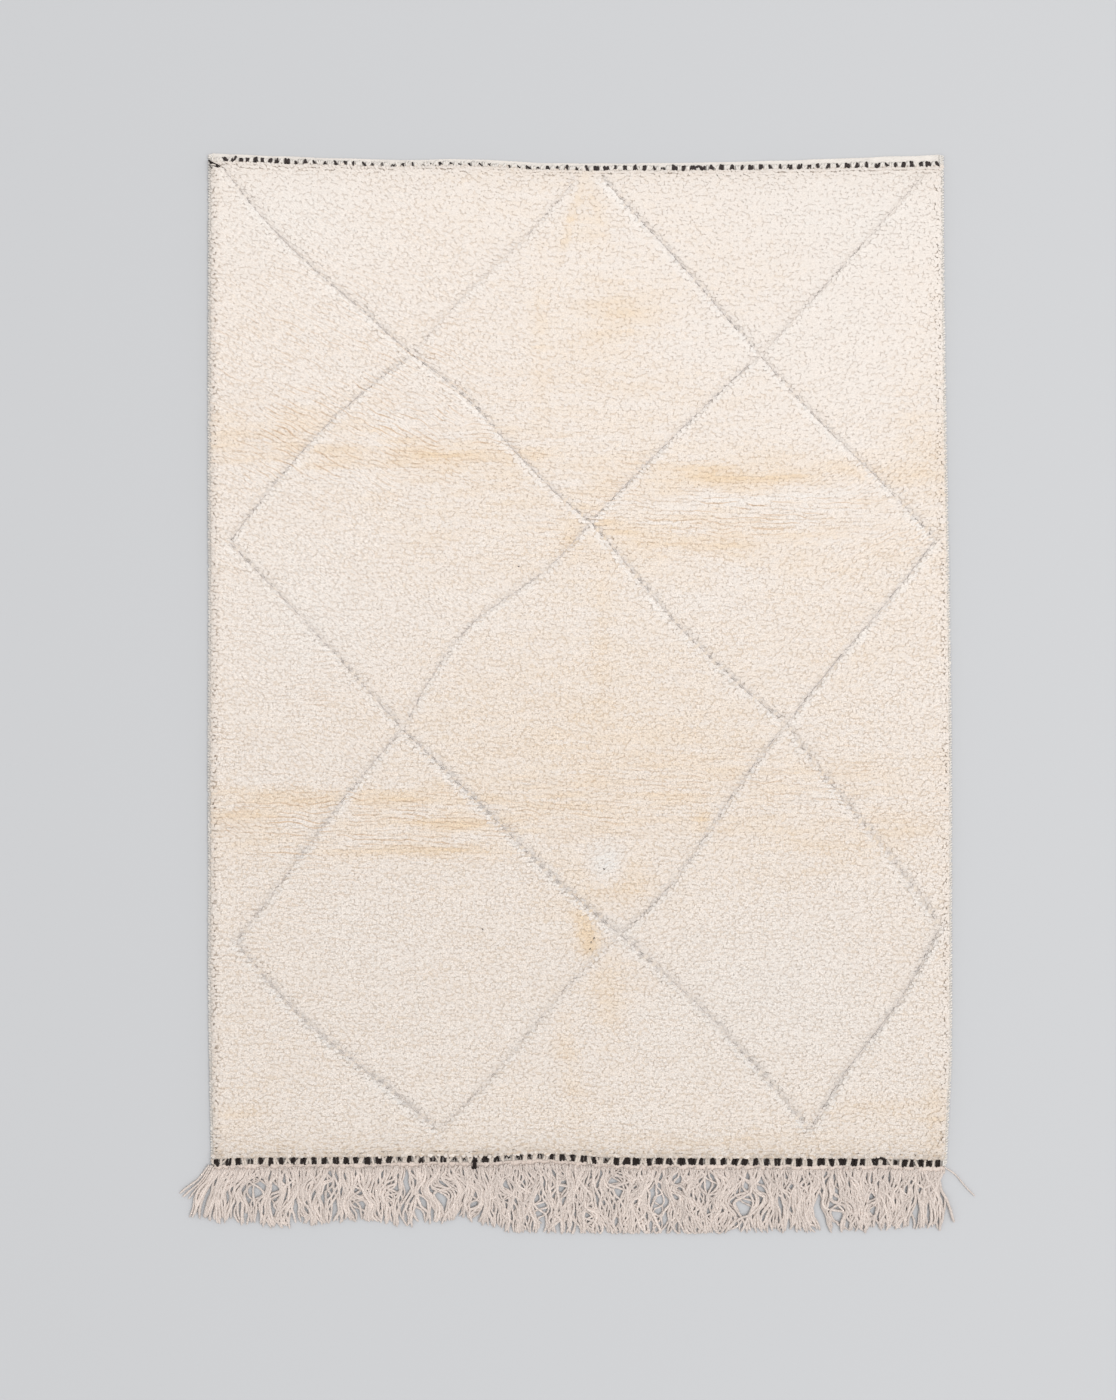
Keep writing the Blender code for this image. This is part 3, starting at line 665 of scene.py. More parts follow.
def pileWool(name, paintsDepthShade):
    material, tree, shader = newMaterial(name)
    warmth, slant, calm = (attribute(tree, label) for label in ("warmth", "slant", "calm"))
    warm, cool = (ranged(tree, warmth, 0.0, end, 0.0, 1.0) for end in (1.0, -1.0))
    colour = mixColours(tree, warm, woolTones["ivory"], woolTones["warm"])
    colour = mixColours(tree, cool, colour, woolTones["cool"])
    colour = mixColours(tree, attribute(tree, "grey"), colour, woolTones["grey"])
    place = objectPlace(tree)
    falling = ranged(tree, slant, -0.05, -0.35, 0.0, 1.0)
    rising = ranged(tree, slant, 0.05, 0.35, 0.0, 1.0)

    def byLie(level, down, up):
        # three ways that the wool lies, blended by how the tufts slant there
        return mixValues(tree, rising, mixValues(tree, falling, level, down), up)

    # painted shade in the fine creases between the locks and low down on the tufts, warm because light
    # comes back out of the wool
    creviceShading = byLie(*(hairlines(tree, place, turn) for turn in (-3, -27, 24)))
    creviceShading = calc(tree, "MULTIPLY", creviceShading, attribute(tree, "crease"))
    if paintsDepthShade:
        depth = ranged(tree, attribute(tree, "depth"), 0.45, 1.25, 0.0, 0.15)
        depth = calc(tree, "MULTIPLY", depth, ranged(tree, calm, 0.2, 0.9, 1.0, 0.2))
        creviceShading = calc(tree, "ADD", creviceShading, depth)
    colour = mixColours(tree, creviceShading, colour, woolTones["creviceShade"])

    # fibres, and the short strokes of the wool
    fibre = noiseOver(tree, place, 850.0, 3.0, 0.6)
    tone = calc(tree, "ADD", attribute(tree, "tone"), 1.0)
    tone = calc(tree, "MULTIPLY", tone, ranged(tree, fibre, 0.25, 0.75, 0.94, 1.06))
    level = strokes(tree, place, 0, 0.0030, 0.0027)
    stroke = byLie(level, *(strokes(tree, place, turn, 0.0050, 0.0022) for turn in (-30, 30)))
    stroke = ranged(tree, stroke, 0.33, 0.67, -1.0, 1.0)
    lift = calc(tree, "MULTIPLY_ADD", stroke, ranged(tree, calm, 0.0, 1.0, 0.19, 0.07), 1.0)
    colour = toned(tree, colour, calc(tree, "MULTIPLY", tone, lift))

    # painted shade in the gaps where the knots part
    gap = ranged(tree, strokes(tree, place, 8, 0.0105, 0.0052), 0.46, 0.34, 0.0, 1.0)
    gap = calc(tree, "MULTIPLY", gap, attribute(tree, "gapShade"))
    colour = mixColours(tree, gap, colour, woolTones["gap"])
    finishWool(tree, shader, colour, fibre, 0.35, 0.0006, sheen=0.25)
    return material


def addBakeMap(mesh):
    # a map from straight above, with the hidden undersides in a strip of their own
    def gather(items, field, kind, width=1):
        data = np.empty(len(items) * width, kind)
        items.foreach_get(field, data)
        return data.reshape(len(items), width)

    places = gather(mesh.vertices, "co", np.float32, 3)
    corners = gather(mesh.loops, "vertex_index", np.int32)[:, 0]
    low, high = places.min(0), places.max(0)
    uv = ((places - low) / (high - low))[corners][:, :2]
    normals = gather(mesh.polygons, "normal", np.float32, 3)
    under = np.repeat(normals[:, 2] < 0.05, gather(mesh.polygons, "loop_total", np.int32)[:, 0])
    uv[:, 1] = np.where(under, 0.08 * uv[:, 1], 0.09 + 0.91 * uv[:, 1])
    layer = mesh.uv_layers.new(name="OFBake")
    layer.uv.foreach_set("vector", uv.astype(np.float32).ravel())


def rimLocks():
    # locks that hang over the twined rows, with gaps between them: place, turn, size and tone
    dice = np.random.default_rng(pile["seed"] + 5)
    count, halfWidth = pile["rimLocks"], rug["width"] / 2 - 0.014

    def varied(spread):
        return spread * dice.normal(size=count)

    ends = []
    for outward, foot in ((-1, fringeFoot), (1, hemFoot)):
        x = np.linspace(-halfWidth, halfWidth, count) + varied(0.0035)
        over = 0.0045 * hump(x, -0.20, 0.17) + varied(0.0014)
        if outward < 0:
            y = foot(x) + (0.0088 - over)
            # the locks at the fringe end are drawn darker: painted shade
            level, tone = pileTop(x, y, np.full(count, 0.05)) - 0.0008, -0.13
        else:
            y = foot(x) - (0.0045 - 0.4 * over)
            level, tone = np.full(count, 0.0100), 0.0
        z = level + varied(0.0006)
        turn = np.stack([0.25 * outward + 0 * x, varied(0.15), varied(0.40)], 1)
        wide = (0.95 + varied(0.25)).clip(0.5, 1.6)
        size = np.stack([wide, 1.35 + varied(0.2), 1.6 + 0 * x], 1)
        ends.append((x, y, z, turn, size, tone + varied(0.05)))
    return [np.concatenate(parts) for parts in zip(*ends)]


def coolBand(away, awayY, plain):
    # painted light: the wool beside a line is drawn whiter on its lower side, where the groove faces the
    # light
    below = np.exp(-(((away - 0.006) / 0.008) ** 2))
    return plain * np.where(awayY < 0, below, 0.3 * np.exp(-((away / 0.006) ** 2)))


def setTufts(x, y, away, calm, dice):
    # each tuft's height, turn and size; the rim's lean outwards
    count = len(x)

    def varied(spread):
        return spread * dice.normal(size=count)

    jitter = pile["heightJitter"] * (1 - 0.6 * calm) * dice.normal(size=count).clip(-2, 2)
    top = pileTop(x, y, away) + jitter
    z = pile["rimLevel"] + (top - pile["rimLevel"]) * (0.45 + 0.55 * rimRounding(x, y))
    left, right = sideLines(y)
    outX = hump(x - left, 0.006, 0.010) * -1 + hump(right - x, 0.006, 0.010)
    outY = hump(hemFoot(x) - y, 0.0, 0.010) - hump(y - fringeFoot(x), 0.0, 0.010)
    lean = pile["lean"] * (1 - 0.5 * calm)
    turn = [varied(lean) - 0.7 * outY, varied(lean) + 0.7 * outX, slantAt(x, y) + varied(0.22)]
    creased = creaseAt(x, y)
    wide = 1.0 + varied(0.16) + 0.30 * creased
    long = 1.0 + varied(0.10) - 0.10 * creased
    low = 1 + 0.22 * hump(y - fringeFoot(x), 0.0, 0.030)
    size = np.stack([wide * low, long * low, low], 1).clip(0.6, 1.6)
    size *= np.stack([1 + 0.10 * calm, 1 + 0.10 * calm, 1 - 0.25 * calm], 1)
    return z, np.stack(turn, 1), size


def napShade(x, y, fromFoot):
    # the nap's painted light and shade: darker towards the ends, in patches by the right edge and on the
    # upper right, lighter along the left edge
    nap = napAt(y)
    patches = hump(y, 1.07, 0.10) + hump(y, 0.50, 0.14) + hump(y, -0.90, 0.12)
    nap -= 0.030 * hump(x, 0.78, 0.12) * patches
    nap += 0.020 * hump(x, -0.78, 0.05)
    nap -= 0.020 * hump(fromFoot, 0.020, 0.025) + 0.022 * hump(x, 0.50, 0.32) * hump(y, 0.92, 0.36)
    nap -= 0.045 * hump(fromFoot, 0.0, 0.050) + 0.025 * hump(hemFoot(x) - y, 0.0, 0.050)
    return nap


def buildPile():
    x, y, away, plain, awayY = layKnots()
    dice = np.random.default_rng(pile["seed"])
    count = len(x)
    calm = calmAt(x, y)
    z, turn, size = setTufts(x, y, away, calm, dice)

    # what the lattice and the fringe end do to the wool's tone and warmth
    line = plain * np.exp(-((away / (0.0078 - 0.0017 * np.tanh(4 * y))) ** 2))
    # painted shade on the upper side of each line
    shadedUpperSide = plain * (awayY > 0) * np.exp(-((away / 0.013) ** 2))
    cool = coolBand(away, awayY, plain)
    fine = 0.008 * dice.normal(size=count) + 0.014 * unevenAt(x, y, 0.030, 0.007, 4.4)
    specks = 0.13 * line * (dice.random(count) < 0.16)
    fromFoot = y - fringeFoot(x)
    # painted shade by the fringe end, in the gaps between the knots: darker and warmer there
    gapShade = hump(fromFoot, 0.004, 0.010) * (1 + 2.4 * unevenAt(x, y, 0.011, 0.016, 8.2)).clip(0)
    warmth = warmthAt(x, y) * (1 - 0.8 * np.clip(line + cool, 0, 1)) - 0.35 * cool + 0.2 * gapShade
    warmth += 0.10 * calm * unevenAt(x, y, 0.016, 0.011, 9.1).clip(0)
    tone = napShade(x, y, fromFoot) - 0.10 * gapShade + fine + 0.045 * cool - 0.03 * shadedUpperSide - specks

    # the rim's locks join the tufts
    grown = (x, y, z, turn, size, tone)
    x, y, z, turn, size, tone = (np.concatenate(pair) for pair in zip(grown, rimLocks()))
    line, calm, warmth = (np.append(part, np.zeros(len(x) - count)) for part in (line, calm, warmth))
    warmth += 0.05 * dice.normal(size=len(x))
    # grey wool along the lattice lines, widened into painted shade of the grooves
    greyAndGrooveShade = (0.37 - 0.06 * np.tanh(4 * y + 0.8)) * line * (1 + 0.4 * dice.normal(size=len(x)))
    # more painted shade in the gaps near both ends
    endGapShade = 0.95 * hump(y - fringeFoot(x), 0.012, 0.034) + 0.2 * hump(hemFoot(x) - y, 0.0, 0.025)
    attributes = {
        "turn": turn,
        "size": size,
        "warmth": warmth,
        "grey": greyAndGrooveShade.clip(0, 1),
        "tone": tone,
        "slant": slantAt(x, y),
        "crease": foldsAt(x, y),
        "gapShade": 0.24 * (1 - calm) + endGapShade,
        "calm": calm,
    }
    shapes = bpy.data.collections.new("tuftShapes")
    tuftShapes(shapes)
    tree = tuftTree()
    values = {
        "Tufts": shapes,
        "Tuft length": pile["tuftLength"],
        "Tuft width": pile["tuftWidth"],
        "Tuft height": pile["tuftHeight"],
        "Unevenness": pile["unevenness"],
        "Seed": pile["seed"],
        "Wool": pileWool("ivoryPile", True),
    }
    places = np.stack([x, y, z], 1)
    pieces = []
    for name, part in (
        ("pile_hem_left", (x < 0) & (y > pile["splitY"])),
        ("pile_hem_right", (x >= 0) & (y > pile["splitY"])),
        ("pile_fringe_left", (x < 0) & (y <= pile["splitY"])),
        ("pile_fringe_right", (x >= 0) & (y <= pile["splitY"])),
    ):
        picked = {label: data[part] for label, data in attributes.items()}
        piece = grow(name, places[part], picked, tree, values)
        for spare in ("turn", "size"):
            if spare in piece.data.attributes:
                piece.data.attributes.remove(piece.data.attributes[spare])
        addBakeMap(piece.data)
        dress(piece, "rug_body")
        pieces.append(piece)
        print(name, len(picked["tone"]), "tufts,", len(piece.data.polygons), "faces")
    for shape in list(shapes.objects):
        bpy.data.objects.remove(shape)
    bpy.data.collections.remove(shapes)
    return pieces


pilePieces = buildPile()


def closedSheet(name, face, columns, rows, bottomAt, material):
    # a grid of points made a closed sheet: its face, its rim and one flat underside
    width = columns + 1
    a = (np.arange(rows)[:, None] * width + np.arange(columns)).ravel()
    faces = np.stack([a, a + 1, a + 1 + width, a + width], 1).tolist()
    rim = list(range(width)) + [r * width + columns for r in range(1, rows + 1)]
    rim += [rows * width + c for c in range(columns - 1, -1, -1)]
    rim += [r * width for r in range(rows - 1, 0, -1)]
    below = face[rim]
    below[:, 2] = bottomAt
    count, around = len(face), len(rim)
    for i in range(around):
        j = (i + 1) % around
        faces.append([rim[j], rim[i], count + i, count + j])
    faces.append([count + i for i in reversed(range(around))])
    mesh = newMesh(name, np.concatenate([face, below]).tolist(), faces)
    mesh.shade_smooth()
    mesh.materials.append(material)
    return addObject(name, mesh), rim


def gridSlab(name, u, v, edges, topAt, bottomAt, material):
    # a closed sheet between the side cords
    columns, rows = len(u) - 1, len(v) - 1
    inset = rug["selvedgeWidth"] + rug["gap"]
    u, v = (a.ravel() for a in np.meshgrid(u, v))
    lowEdge, highEdge = edges
    left, right = sideLines(rug["fringeEndY"] + (rug["hemEndY"] - rug["fringeEndY"]) * v)
    x = left + inset + (right - left - 2 * inset) * u
    y = lowEdge(x) + (highEdge(x) - lowEdge(x)) * v
    piece, rim = closedSheet(name, np.stack([x, y, topAt(x, y)], 1), columns, rows, bottomAt, material)
    return piece, np.concatenate([x, x[rim]]), np.concatenate([y, y[rim]])


def writeAttribute(piece, label, data):
    layer = piece.data.attributes.new(label, "FLOAT", "POINT")
    layer.data.foreach_set("value", np.asarray(data, np.float32))


def buildBed():
    def top(x, y):
        face = pileTop(x, y, nearestLine(x, y)[0]) - pile["bedDrop"]
        return pile["rimLevel"] + (face - pile["rimLevel"]) * (0.25 + 0.75 * rimRounding(x, y))

    u, v = np.linspace(0, 1, 97), np.linspace(0, 1, 131)
    wool = pileWool("pileDepth", False)
    bed, x, y = gridSlab("pile_bed", u, v, (fringeFoot, hemFoot), top, 0.0042, wool)
    away, _, _, plain = nearestLine(x, y)
    # the bed is drawn warmer and darker than the tufts, as painted shade beneath them, and grey along the
    # lines as they are
    writeAttribute(bed, "warmth", warmthAt(x, y) + 0.35 - 0.20 * calmAt(x, y))
    writeAttribute(bed, "grey", 0.7 * plain * np.exp(-((away / 0.0075) ** 2)))
    writeAttribute(bed, "tone", napAt(y) - 0.045 + 0.058 * calmAt(x, y))
    writeAttribute(bed, "slant", slantAt(x, y))
    writeAttribute(bed, "crease", foldsAt(x, y))
    writeAttribute(bed, "calm", calmAt(x, y))
    return bed


bed = buildBed()
print("pile bed laid")

yarnTones = {
    "warp": (0.685, 0.596, 0.538),
    "heading": (0.700, 0.600, 0.535),
    "cream": (0.640, 0.560, 0.490),
    "black": (0.031, 0.024, 0.022),
    "greyBlack": (0.058, 0.047, 0.045),
    "fleck": (0.130, 0.110, 0.100),
    "lattice": (0.680, 0.617, 0.572),
    "edge": (0.790, 0.745, 0.690),
    "hem": (0.760, 0.710, 0.655),
}
shadedTwist = 0.014  # length of one turn of the plies' shadows


def yarnTree():
    inputs = {"Yarn sides": "Int", "Ply depth": "Float", "Twist length": "Float", "Wool": "Material"}
    tree, given, out = growTree("yarnsAlongPaths", inputs)
    paths = addNode(tree, "GeometryNodeMeshToCurve", {"Mesh": given["Geometry"]})
    turns = calc(tree, "DIVIDE", named(tree, "along"), given["Twist length"])
    tilt = calc(tree, "MULTIPLY", turns, 2 * pi)
    twisted = addNode(tree, "GeometryNodeSetCurveTilt", {"Curve": paths.outputs[0], "Tilt": tilt})
    # the ring swept along each path has a lobe for each ply
    sides = {"Resolution": given["Yarn sides"], "Radius": 1.0}
    ring = addNode(tree, "GeometryNodeCurvePrimitiveCircle", sides).outputs[0]
    around = addNode(tree, "GeometryNodeSplineParameter").outputs[0]
    wave = calc(tree, "COSINE", calc(tree, "MULTIPLY", around, 4 * pi))
    lobe = calc(tree, "MULTIPLY_ADD", wave, given["Ply depth"], 1.0)
    spot = addNode(tree, "GeometryNodeInputPosition").outputs[0]
    lobed = addNode(tree, "ShaderNodeVectorMath", {0: spot, "Scale": lobe}, operation="SCALE").outputs[0]
    shaped = addNode(tree, "GeometryNodeSetPosition", {"Geometry": ring, "Position": lobed})
    marked = addNode(
        tree, "GeometryNodeStoreNamedAttribute",
        {"Geometry": shaped.outputs[0], "Name": "around", "Value": around},
        data_type="FLOAT", domain="POINT",
    )
    tube = addNode(
        tree, "GeometryNodeCurveToMesh",
        {
            "Curve": twisted.outputs[0],
            "Profile Curve": marked.outputs[0],
            "Scale": named(tree, "radius"),
            "Fill Caps": True,
        },
    )
    smooth = addNode(tree, "GeometryNodeSetShadeSmooth", {"Geometry": tube.outputs[0]})
    return endTree(tree, smooth.outputs[0], given["Wool"], out)


yarnMaker = yarnTree()


def layYarns(name, lines, wool, sides=6, ply=0.10, twist=0.014):
    # each line is (points, radii, tone); every yarn becomes one closed tube
    points = np.concatenate([line[0] for line in lines])
    radii = np.concatenate([np.broadcast_to(line[1], len(line[0])) for line in lines])
    tones = np.concatenate([np.full(len(line[0]), line[2]) for line in lines])
    runs, edges, first = [], [], 0
    for line in lines:
        steps = np.linalg.norm(np.diff(line[0], axis=0), axis=1)
        runs.append(np.concatenate([[0.0], np.cumsum(steps)]) + 0.003 * (first % 7))
        edges += [(first + i, first + i + 1) for i in range(len(steps))]
        first += len(line[0])
    attributes = {"radius": radii, "along": np.concatenate(runs), "tone": tones}
    values = {"Yarn sides": sides, "Ply depth": ply, "Twist length": twist, "Wool": wool}
    return grow(name, points, attributes, yarnMaker, values, edges)


def fibrous(tree, face, colour, contrast, scale, detail, least):
    # a colour with its shadow where the face is low, and the tones of its fibres and patches
    place = objectPlace(tree)
    fibre = noiseOver(tree, place, 1100.0, 2.0, 0.6)
    slow = noiseOver(tree, place, scale, detail)
    shadow = tuple(channel * (1 - contrast) for channel in colour)
    base = mixColours(tree, face, shadow, colour)
    fleck = ranged(tree, fibre, 0.25, 0.75, 0.93, 1.07)
    return base, fibre, fleck, ranged(tree, slow, 0.3, 0.7, least, 1.05)


def yarnWool(name, colour, contrast=0.30, sheen=0.2):
    material, tree, shader = newMaterial(name)
    # plied yarn: painted shade in the furrows that wind round it
    turns = calc(tree, "DIVIDE", attribute(tree, "along"), shadedTwist)
    phase = calc(tree, "ADD", attribute(tree, "around"), turns)
    angle = calc(tree, "MULTIPLY", phase, 2 * pi)
    furrow = calc(tree, "ABSOLUTE", calc(tree, "SINE", angle))
    face = ranged(tree, furrow, 0.0, 0.6, 0.0, 1.0)
    base, fibre, fleck, patch = fibrous(tree, face, colour, contrast, 70.0, 1.0, 0.95)
    tone = calc(tree, "ADD", attribute(tree, "tone"), 1.0)
    tone = calc(tree, "MULTIPLY", calc(tree, "MULTIPLY", tone, fleck), patch)
    height = calc(tree, "ADD", furrow, fibre)
    gloss = 0.15 if sheen else 0.05
    finishWool(tree, shader, toned(tree, base, tone), height, 0.4, 0.0005, sheen, gloss)
    return material


def clothWeave(name, colour):
    # weft-faced plain weave, with painted shade between its lumps
    material, tree, shader = newMaterial(name)
    face = ranged(tree, attribute(tree, "weave"), 0.0, 0.7, 0.0, 1.0)
    base, fibre, fleck, patch = fibrous(tree, face, colour, 0.28, 45.0, 2.0, 0.94)
    colour = toned(tree, base, calc(tree, "MULTIPLY", fleck, patch))
    finishWool(tree, shader, colour, fibre, 0.4, 0.0005, fuzz=0.5)
    return material


# the bare hem of the ground weave
hem = {
    "weftPitch": 0.0027,
    "warpPitch": 0.0075,
    "relief": 0.0007,
    "rim": 0.0012,
    "rounding": 0.003,
    "setIn": 0.0008,
    "scallop": 0.0009,
    "scallopPitch": 0.0096,
    "wander": 0.0012,
}


def weaveRelief(x, y):
    # lumps of weft over the warp, set as bricks: 0 between them, 1 on top
    row = y / hem["weftPitch"]
    offset = 0.5 * (np.floor(row) % 2)
    across = np.abs(np.sin(pi * row))
    along = np.abs(np.sin(pi * (x / hem["warpPitch"] + offset)))
    return across**0.7 * (0.45 + 0.55 * along**0.6)


def scalloped(x):
    loops = np.abs(np.cos(pi * x / hem["scallopPitch"]))
    wander = hem["wander"] * unevenAt(x, 0 * x, 0.05, 1.0, 7.7)
    return hemEdge(x) - hem["setIn"] + hem["scallop"] * loops + wander


def buildGround():
    rim, thick = hem["rim"], rug["groundThickness"]

    def top(x, y):
        near = np.minimum(scalloped(x) - y, y - lipEdge(x)).clip(0, hem["rounding"]) / hem["rounding"]
        relief = hem["relief"] * weaveRelief(x, y - hemEdge(x))
        return rim + (thick - rim) * np.sqrt(near * (2 - near)) + relief * near

    length = rug["hemEndY"] - rug["fringeEndY"] + rug["bottomLip"]
    fine = np.arange(0, 0.024, 0.00075) / length
    v = np.concatenate([np.linspace(0, 0.97, 24), 1 - fine[::-1]])
    u = np.linspace(0, 1, 361)
    weave = clothWeave("hemWeave", yarnTones["hem"])
    ground, x, y = gridSlab("ground_weave", u, v, (lipEdge, scalloped), top, 0.0, weave)
    writeAttribute(ground, "weave", weaveRelief(x, y - hemEdge(x)))
    return ground


ground = buildGround()
print("ground weave laid")

# the twined rows: what both share
twine = {
    "width": 0.0120,
    "setOff": 0.0006,
    "rise": 0.0022,
    "footing": 0.0010,
    "firstCream": 0.005,
    "seed": 23,
}
# each row: its marks of black yarn, their kinds by weight, and the yarn laid over it
twinedRows = {
    "top": {
        "marks": 77,
        "outward": 1,
        "yarn": 0.0024,
        "span": 0.0162,
        "shift": -0.0016,
        "setIn": (0.029, 0.006),
        "crowding": 0.15,
        "kinds": {
            "bar": 4, "leaning": 3, "block": 3, "wedge": 2,
            "wedgeBack": 3, "hourglass": 6, "hook": 2, "letterN": 3,
        },
        "laidOver": [(0.198, "knot"), (0.241, "arch")],
    },
    "bottom": {
        "marks": 69,
        "outward": -1,
        "yarn": 0.0028,
        "span": 0.0204,
        "shift": 0.0002,
        "setIn": (0.001, 0.010),
        "crowding": 0.25,
        "kinds": {
            "block": 5, "broad": 4, "barrel": 3, "hourglass": 4,
            "wedge": 3, "wedgeBack": 3, "crescent": 2,
        },
        "laidOver": [(0.612, "bridge")],
    },
}
# lengths of yarn laid over a row: x and y from the row's middle
laidShapes = {
    "knot": [
        (-0.0065, -0.001), (-0.002, 0.0035), (0.0035, 0.0015),
        (0.0015, -0.0045), (-0.0035, -0.0015), (0.0065, 0.001),
    ],
    "arch": [
        (-0.0125, 0.001), (-0.0080, -0.004), (-0.002, 0.0015),
        (0.005, 0.0045), (0.0120, 0.001), (0.0130, -0.005),
    ],
    "bridge": [
        (-0.009, 0.001), (-0.003, 0.0075), (0.005, 0.0080),
        (0.0105, 0.002), (0.0085, -0.006),
    ],
}
# marks of black yarn: offset, slant, bow of each wrap, in yarn widths
markShapes = {
    "slash": [(-0.4, -1.7, 0.0), (0.4, -1.5, 0.0)],
    "bar": [(0.0, 0.1, 0.0)],
    "leaning": [(0.0, -0.6, 0.0)],
    "block": [(-0.40, 0.08, 0.0), (0.40, -0.08, 0.0)],
    "barrel": [(-0.35, 0.0, -0.25), (0.35, 0.0, 0.25)],
    "hourglass": [(-0.10, 0.50, 0.0), (0.10, -0.50, 0.0)],
    "wedge": [(-0.30, 0.35, 0.0), (0.32, 0.05, 0.0)],
    "wedgeBack": [(-0.32, -0.05, 0.0), (0.30, -0.40, 0.0)],
    "broad": [(-0.72, 0.10, 0.0), (0.0, 0.0, 0.0), (0.72, -0.10, 0.0)],
    "crescent": [(-0.20, 0.0, -0.60), (0.25, 0.1, -0.35)],
    "hook": [(-0.4, 0.0, 0.0), (0.45, 0.6, 0.3)],
    "letterN": [(-0.62, 0.05, 0.0), (0.0, -0.60, 0.1), (0.62, 0.05, 0.0)],
}


def wrapOver(x, middle, slant, bow, half, rise):
    # one turn of yarn over the row, from its near side to its far side
    s = np.linspace(0, pi, 7)
    low = rug["groundThickness"] + twine["footing"]
    places = [x - slant * np.cos(s) + bow * np.sin(s), middle - half * np.cos(s), low + rise * np.sin(s)]
    return np.stack(places, 1), np.array([0.75, 0.95, 1, 1, 1, 0.95, 0.75])


def twinedRow(row, nearLine):
    dice = np.random.default_rng(twine["seed"] + row["marks"])
    outward, yarn, span = row["outward"], row["yarn"], row["span"]
    start = leftSide(nearLine(-rug["width"] / 2))
    first, filled = start + row["setIn"][0], start + twine["firstCream"]
    last = rightSide(nearLine(rug["width"] / 2)) - row["setIn"][1]
    # the marks crowd together at the row's ends
    place = (np.arange(row["marks"]) + 0.5) / row["marks"]
    share = np.cumsum(1.0 - row["crowding"] * (place > 0.93) - 0.25 * (place < 0.10) * (outward > 0))
    centres = first + (last - first) * (share - 0.5 * share[0]) / share[-1]
    chances = np.array(list(row["kinds"].values())) / sum(row["kinds"].values())
    black, cream = [], []

    def middleAt(x):
        return nearLine(x) + outward * (twine["width"] / 2 - twine["setOff"] + row["shift"])

    def halfSpan(spread):
        return (span / 2 - yarn) * (1.0 + spread * dice.normal())

    for number, x in enumerate(centres):
        middle = middleAt(x) + 0.0009 * dice.normal()
        shape = markShapes[dice.choice(list(row["kinds"]), p=chances)]
        if number == 0 and outward > 0:
            shape = markShapes["slash"]
        faint = min(1.0, coveredAt(x, outward) + (0.7 if dice.random() < 0.05 else 0.0))
        x = x + 0.0013 * dice.normal()
        near, far = (x + 2 * yarn * (end(offset for offset, _, _ in shape)) for end in (min, max))
        for offset, slant, bow in shape:
            half = halfSpan(0.10) * (1 - 0.60 * faint)
            lean = (slant + 0.14 * dice.normal()) * 2 * yarn
            at = x + (offset + 0.08 * dice.normal()) * 2 * yarn
            rise = twine["rise"] * (1 - 0.3 * faint)
            path, thick = wrapOver(at, middle + 0.0006 * dice.normal(), lean, bow * 2 * yarn, half, rise)
            black.append((path, thick * yarn * (1.0 + 0.10 * dice.normal()) * (1 - 0.50 * faint), 0.0))
        # cream wraps fill the row up to this mark
        count = max(1, round((near - yarn - filled) / (2.3 * yarn)))
        for at in np.linspace(filled, near - yarn, count + 2)[1:-1]:
            lean = 0.9 * yarn * dice.normal()
            path, thick = wrapOver(at, middle, lean, 0.0, halfSpan(0.05), twine["rise"] - 0.0004)
            cream.append((path, thick * yarn * (1.15 + 0.08 * dice.normal()), 0.04 * dice.normal()))
        filled = far + yarn
    for x, kind in row["laidOver"]:
        corners = np.array(laidShapes[kind])
        t = np.linspace(0, len(corners) - 1, 4 * len(corners))
        across, along = (np.interp(t, range(len(corners)), corners[:, axis]) for axis in (0, 1))
        level = rug["groundThickness"] + twine["footing"] + twine["rise"]
        z = level + 0.0012 * np.sin(pi * t / t[-1])
        thick = 1.1 * yarn * np.interp(t / t[-1], [0, 0.08, 0.92, 1], [0.6, 1, 1, 0.6])
        black.append((np.stack([x + across, middleAt(x) + along, z], 1), thick, 0.0))
    return black, cream


def coveredAt(x, outward):
    # where the pile lies over the row and hides part of it
    def share(centre, width, power=2):
        return exp(-(((x - centre) / width) ** power))

    if outward > 0:
        return 0.80 * share(-0.235, 0.20, 4) - 0.25 * share(0.20, 0.03)
    return 0.35 * share(-0.20, 0.16, 4) + 0.6 * share(-0.225, 0.018) + 0.6 * share(-0.09, 0.035)


def buildRows():
    made = []
    for name, line, dark, pale in (
        ("top", hemFoot, "greyBlack", "hem"),
        ("bottom", fringeFoot, "black", "cream"),
    ):
        darkWool = yarnWool(name + "BlackTwine", yarnTones[dark], contrast=0.5, sheen=0.0)
        paleWool = yarnWool(name + "CreamTwine", yarnTones[pale], contrast=0.08)
        black, cream = twinedRow(twinedRows[name], line)
        for part, wraps, wool in (("black", black, darkWool), ("cream", cream, paleWool)):
            piece = layYarns(name + "_row_" + part, wraps, wool, sides=6, ply=0.08)
            dress(piece, name + "_twined_row")
            made.append(piece)
    return made


rows = buildRows()
blackWool = yarnWool("blackYarn", yarnTones["black"], contrast=0.5, sheen=0.0)
print("twined rows laid")

# wool wound over the side cords, in lumps of two wraps
overcast = {
    "lumpPitch": 0.0110,
    "yarn": 0.0022,
    "arc": 0.0022,
    "core": 0.0024,
    "endGap": 0.003,
    "seed": 31,
}


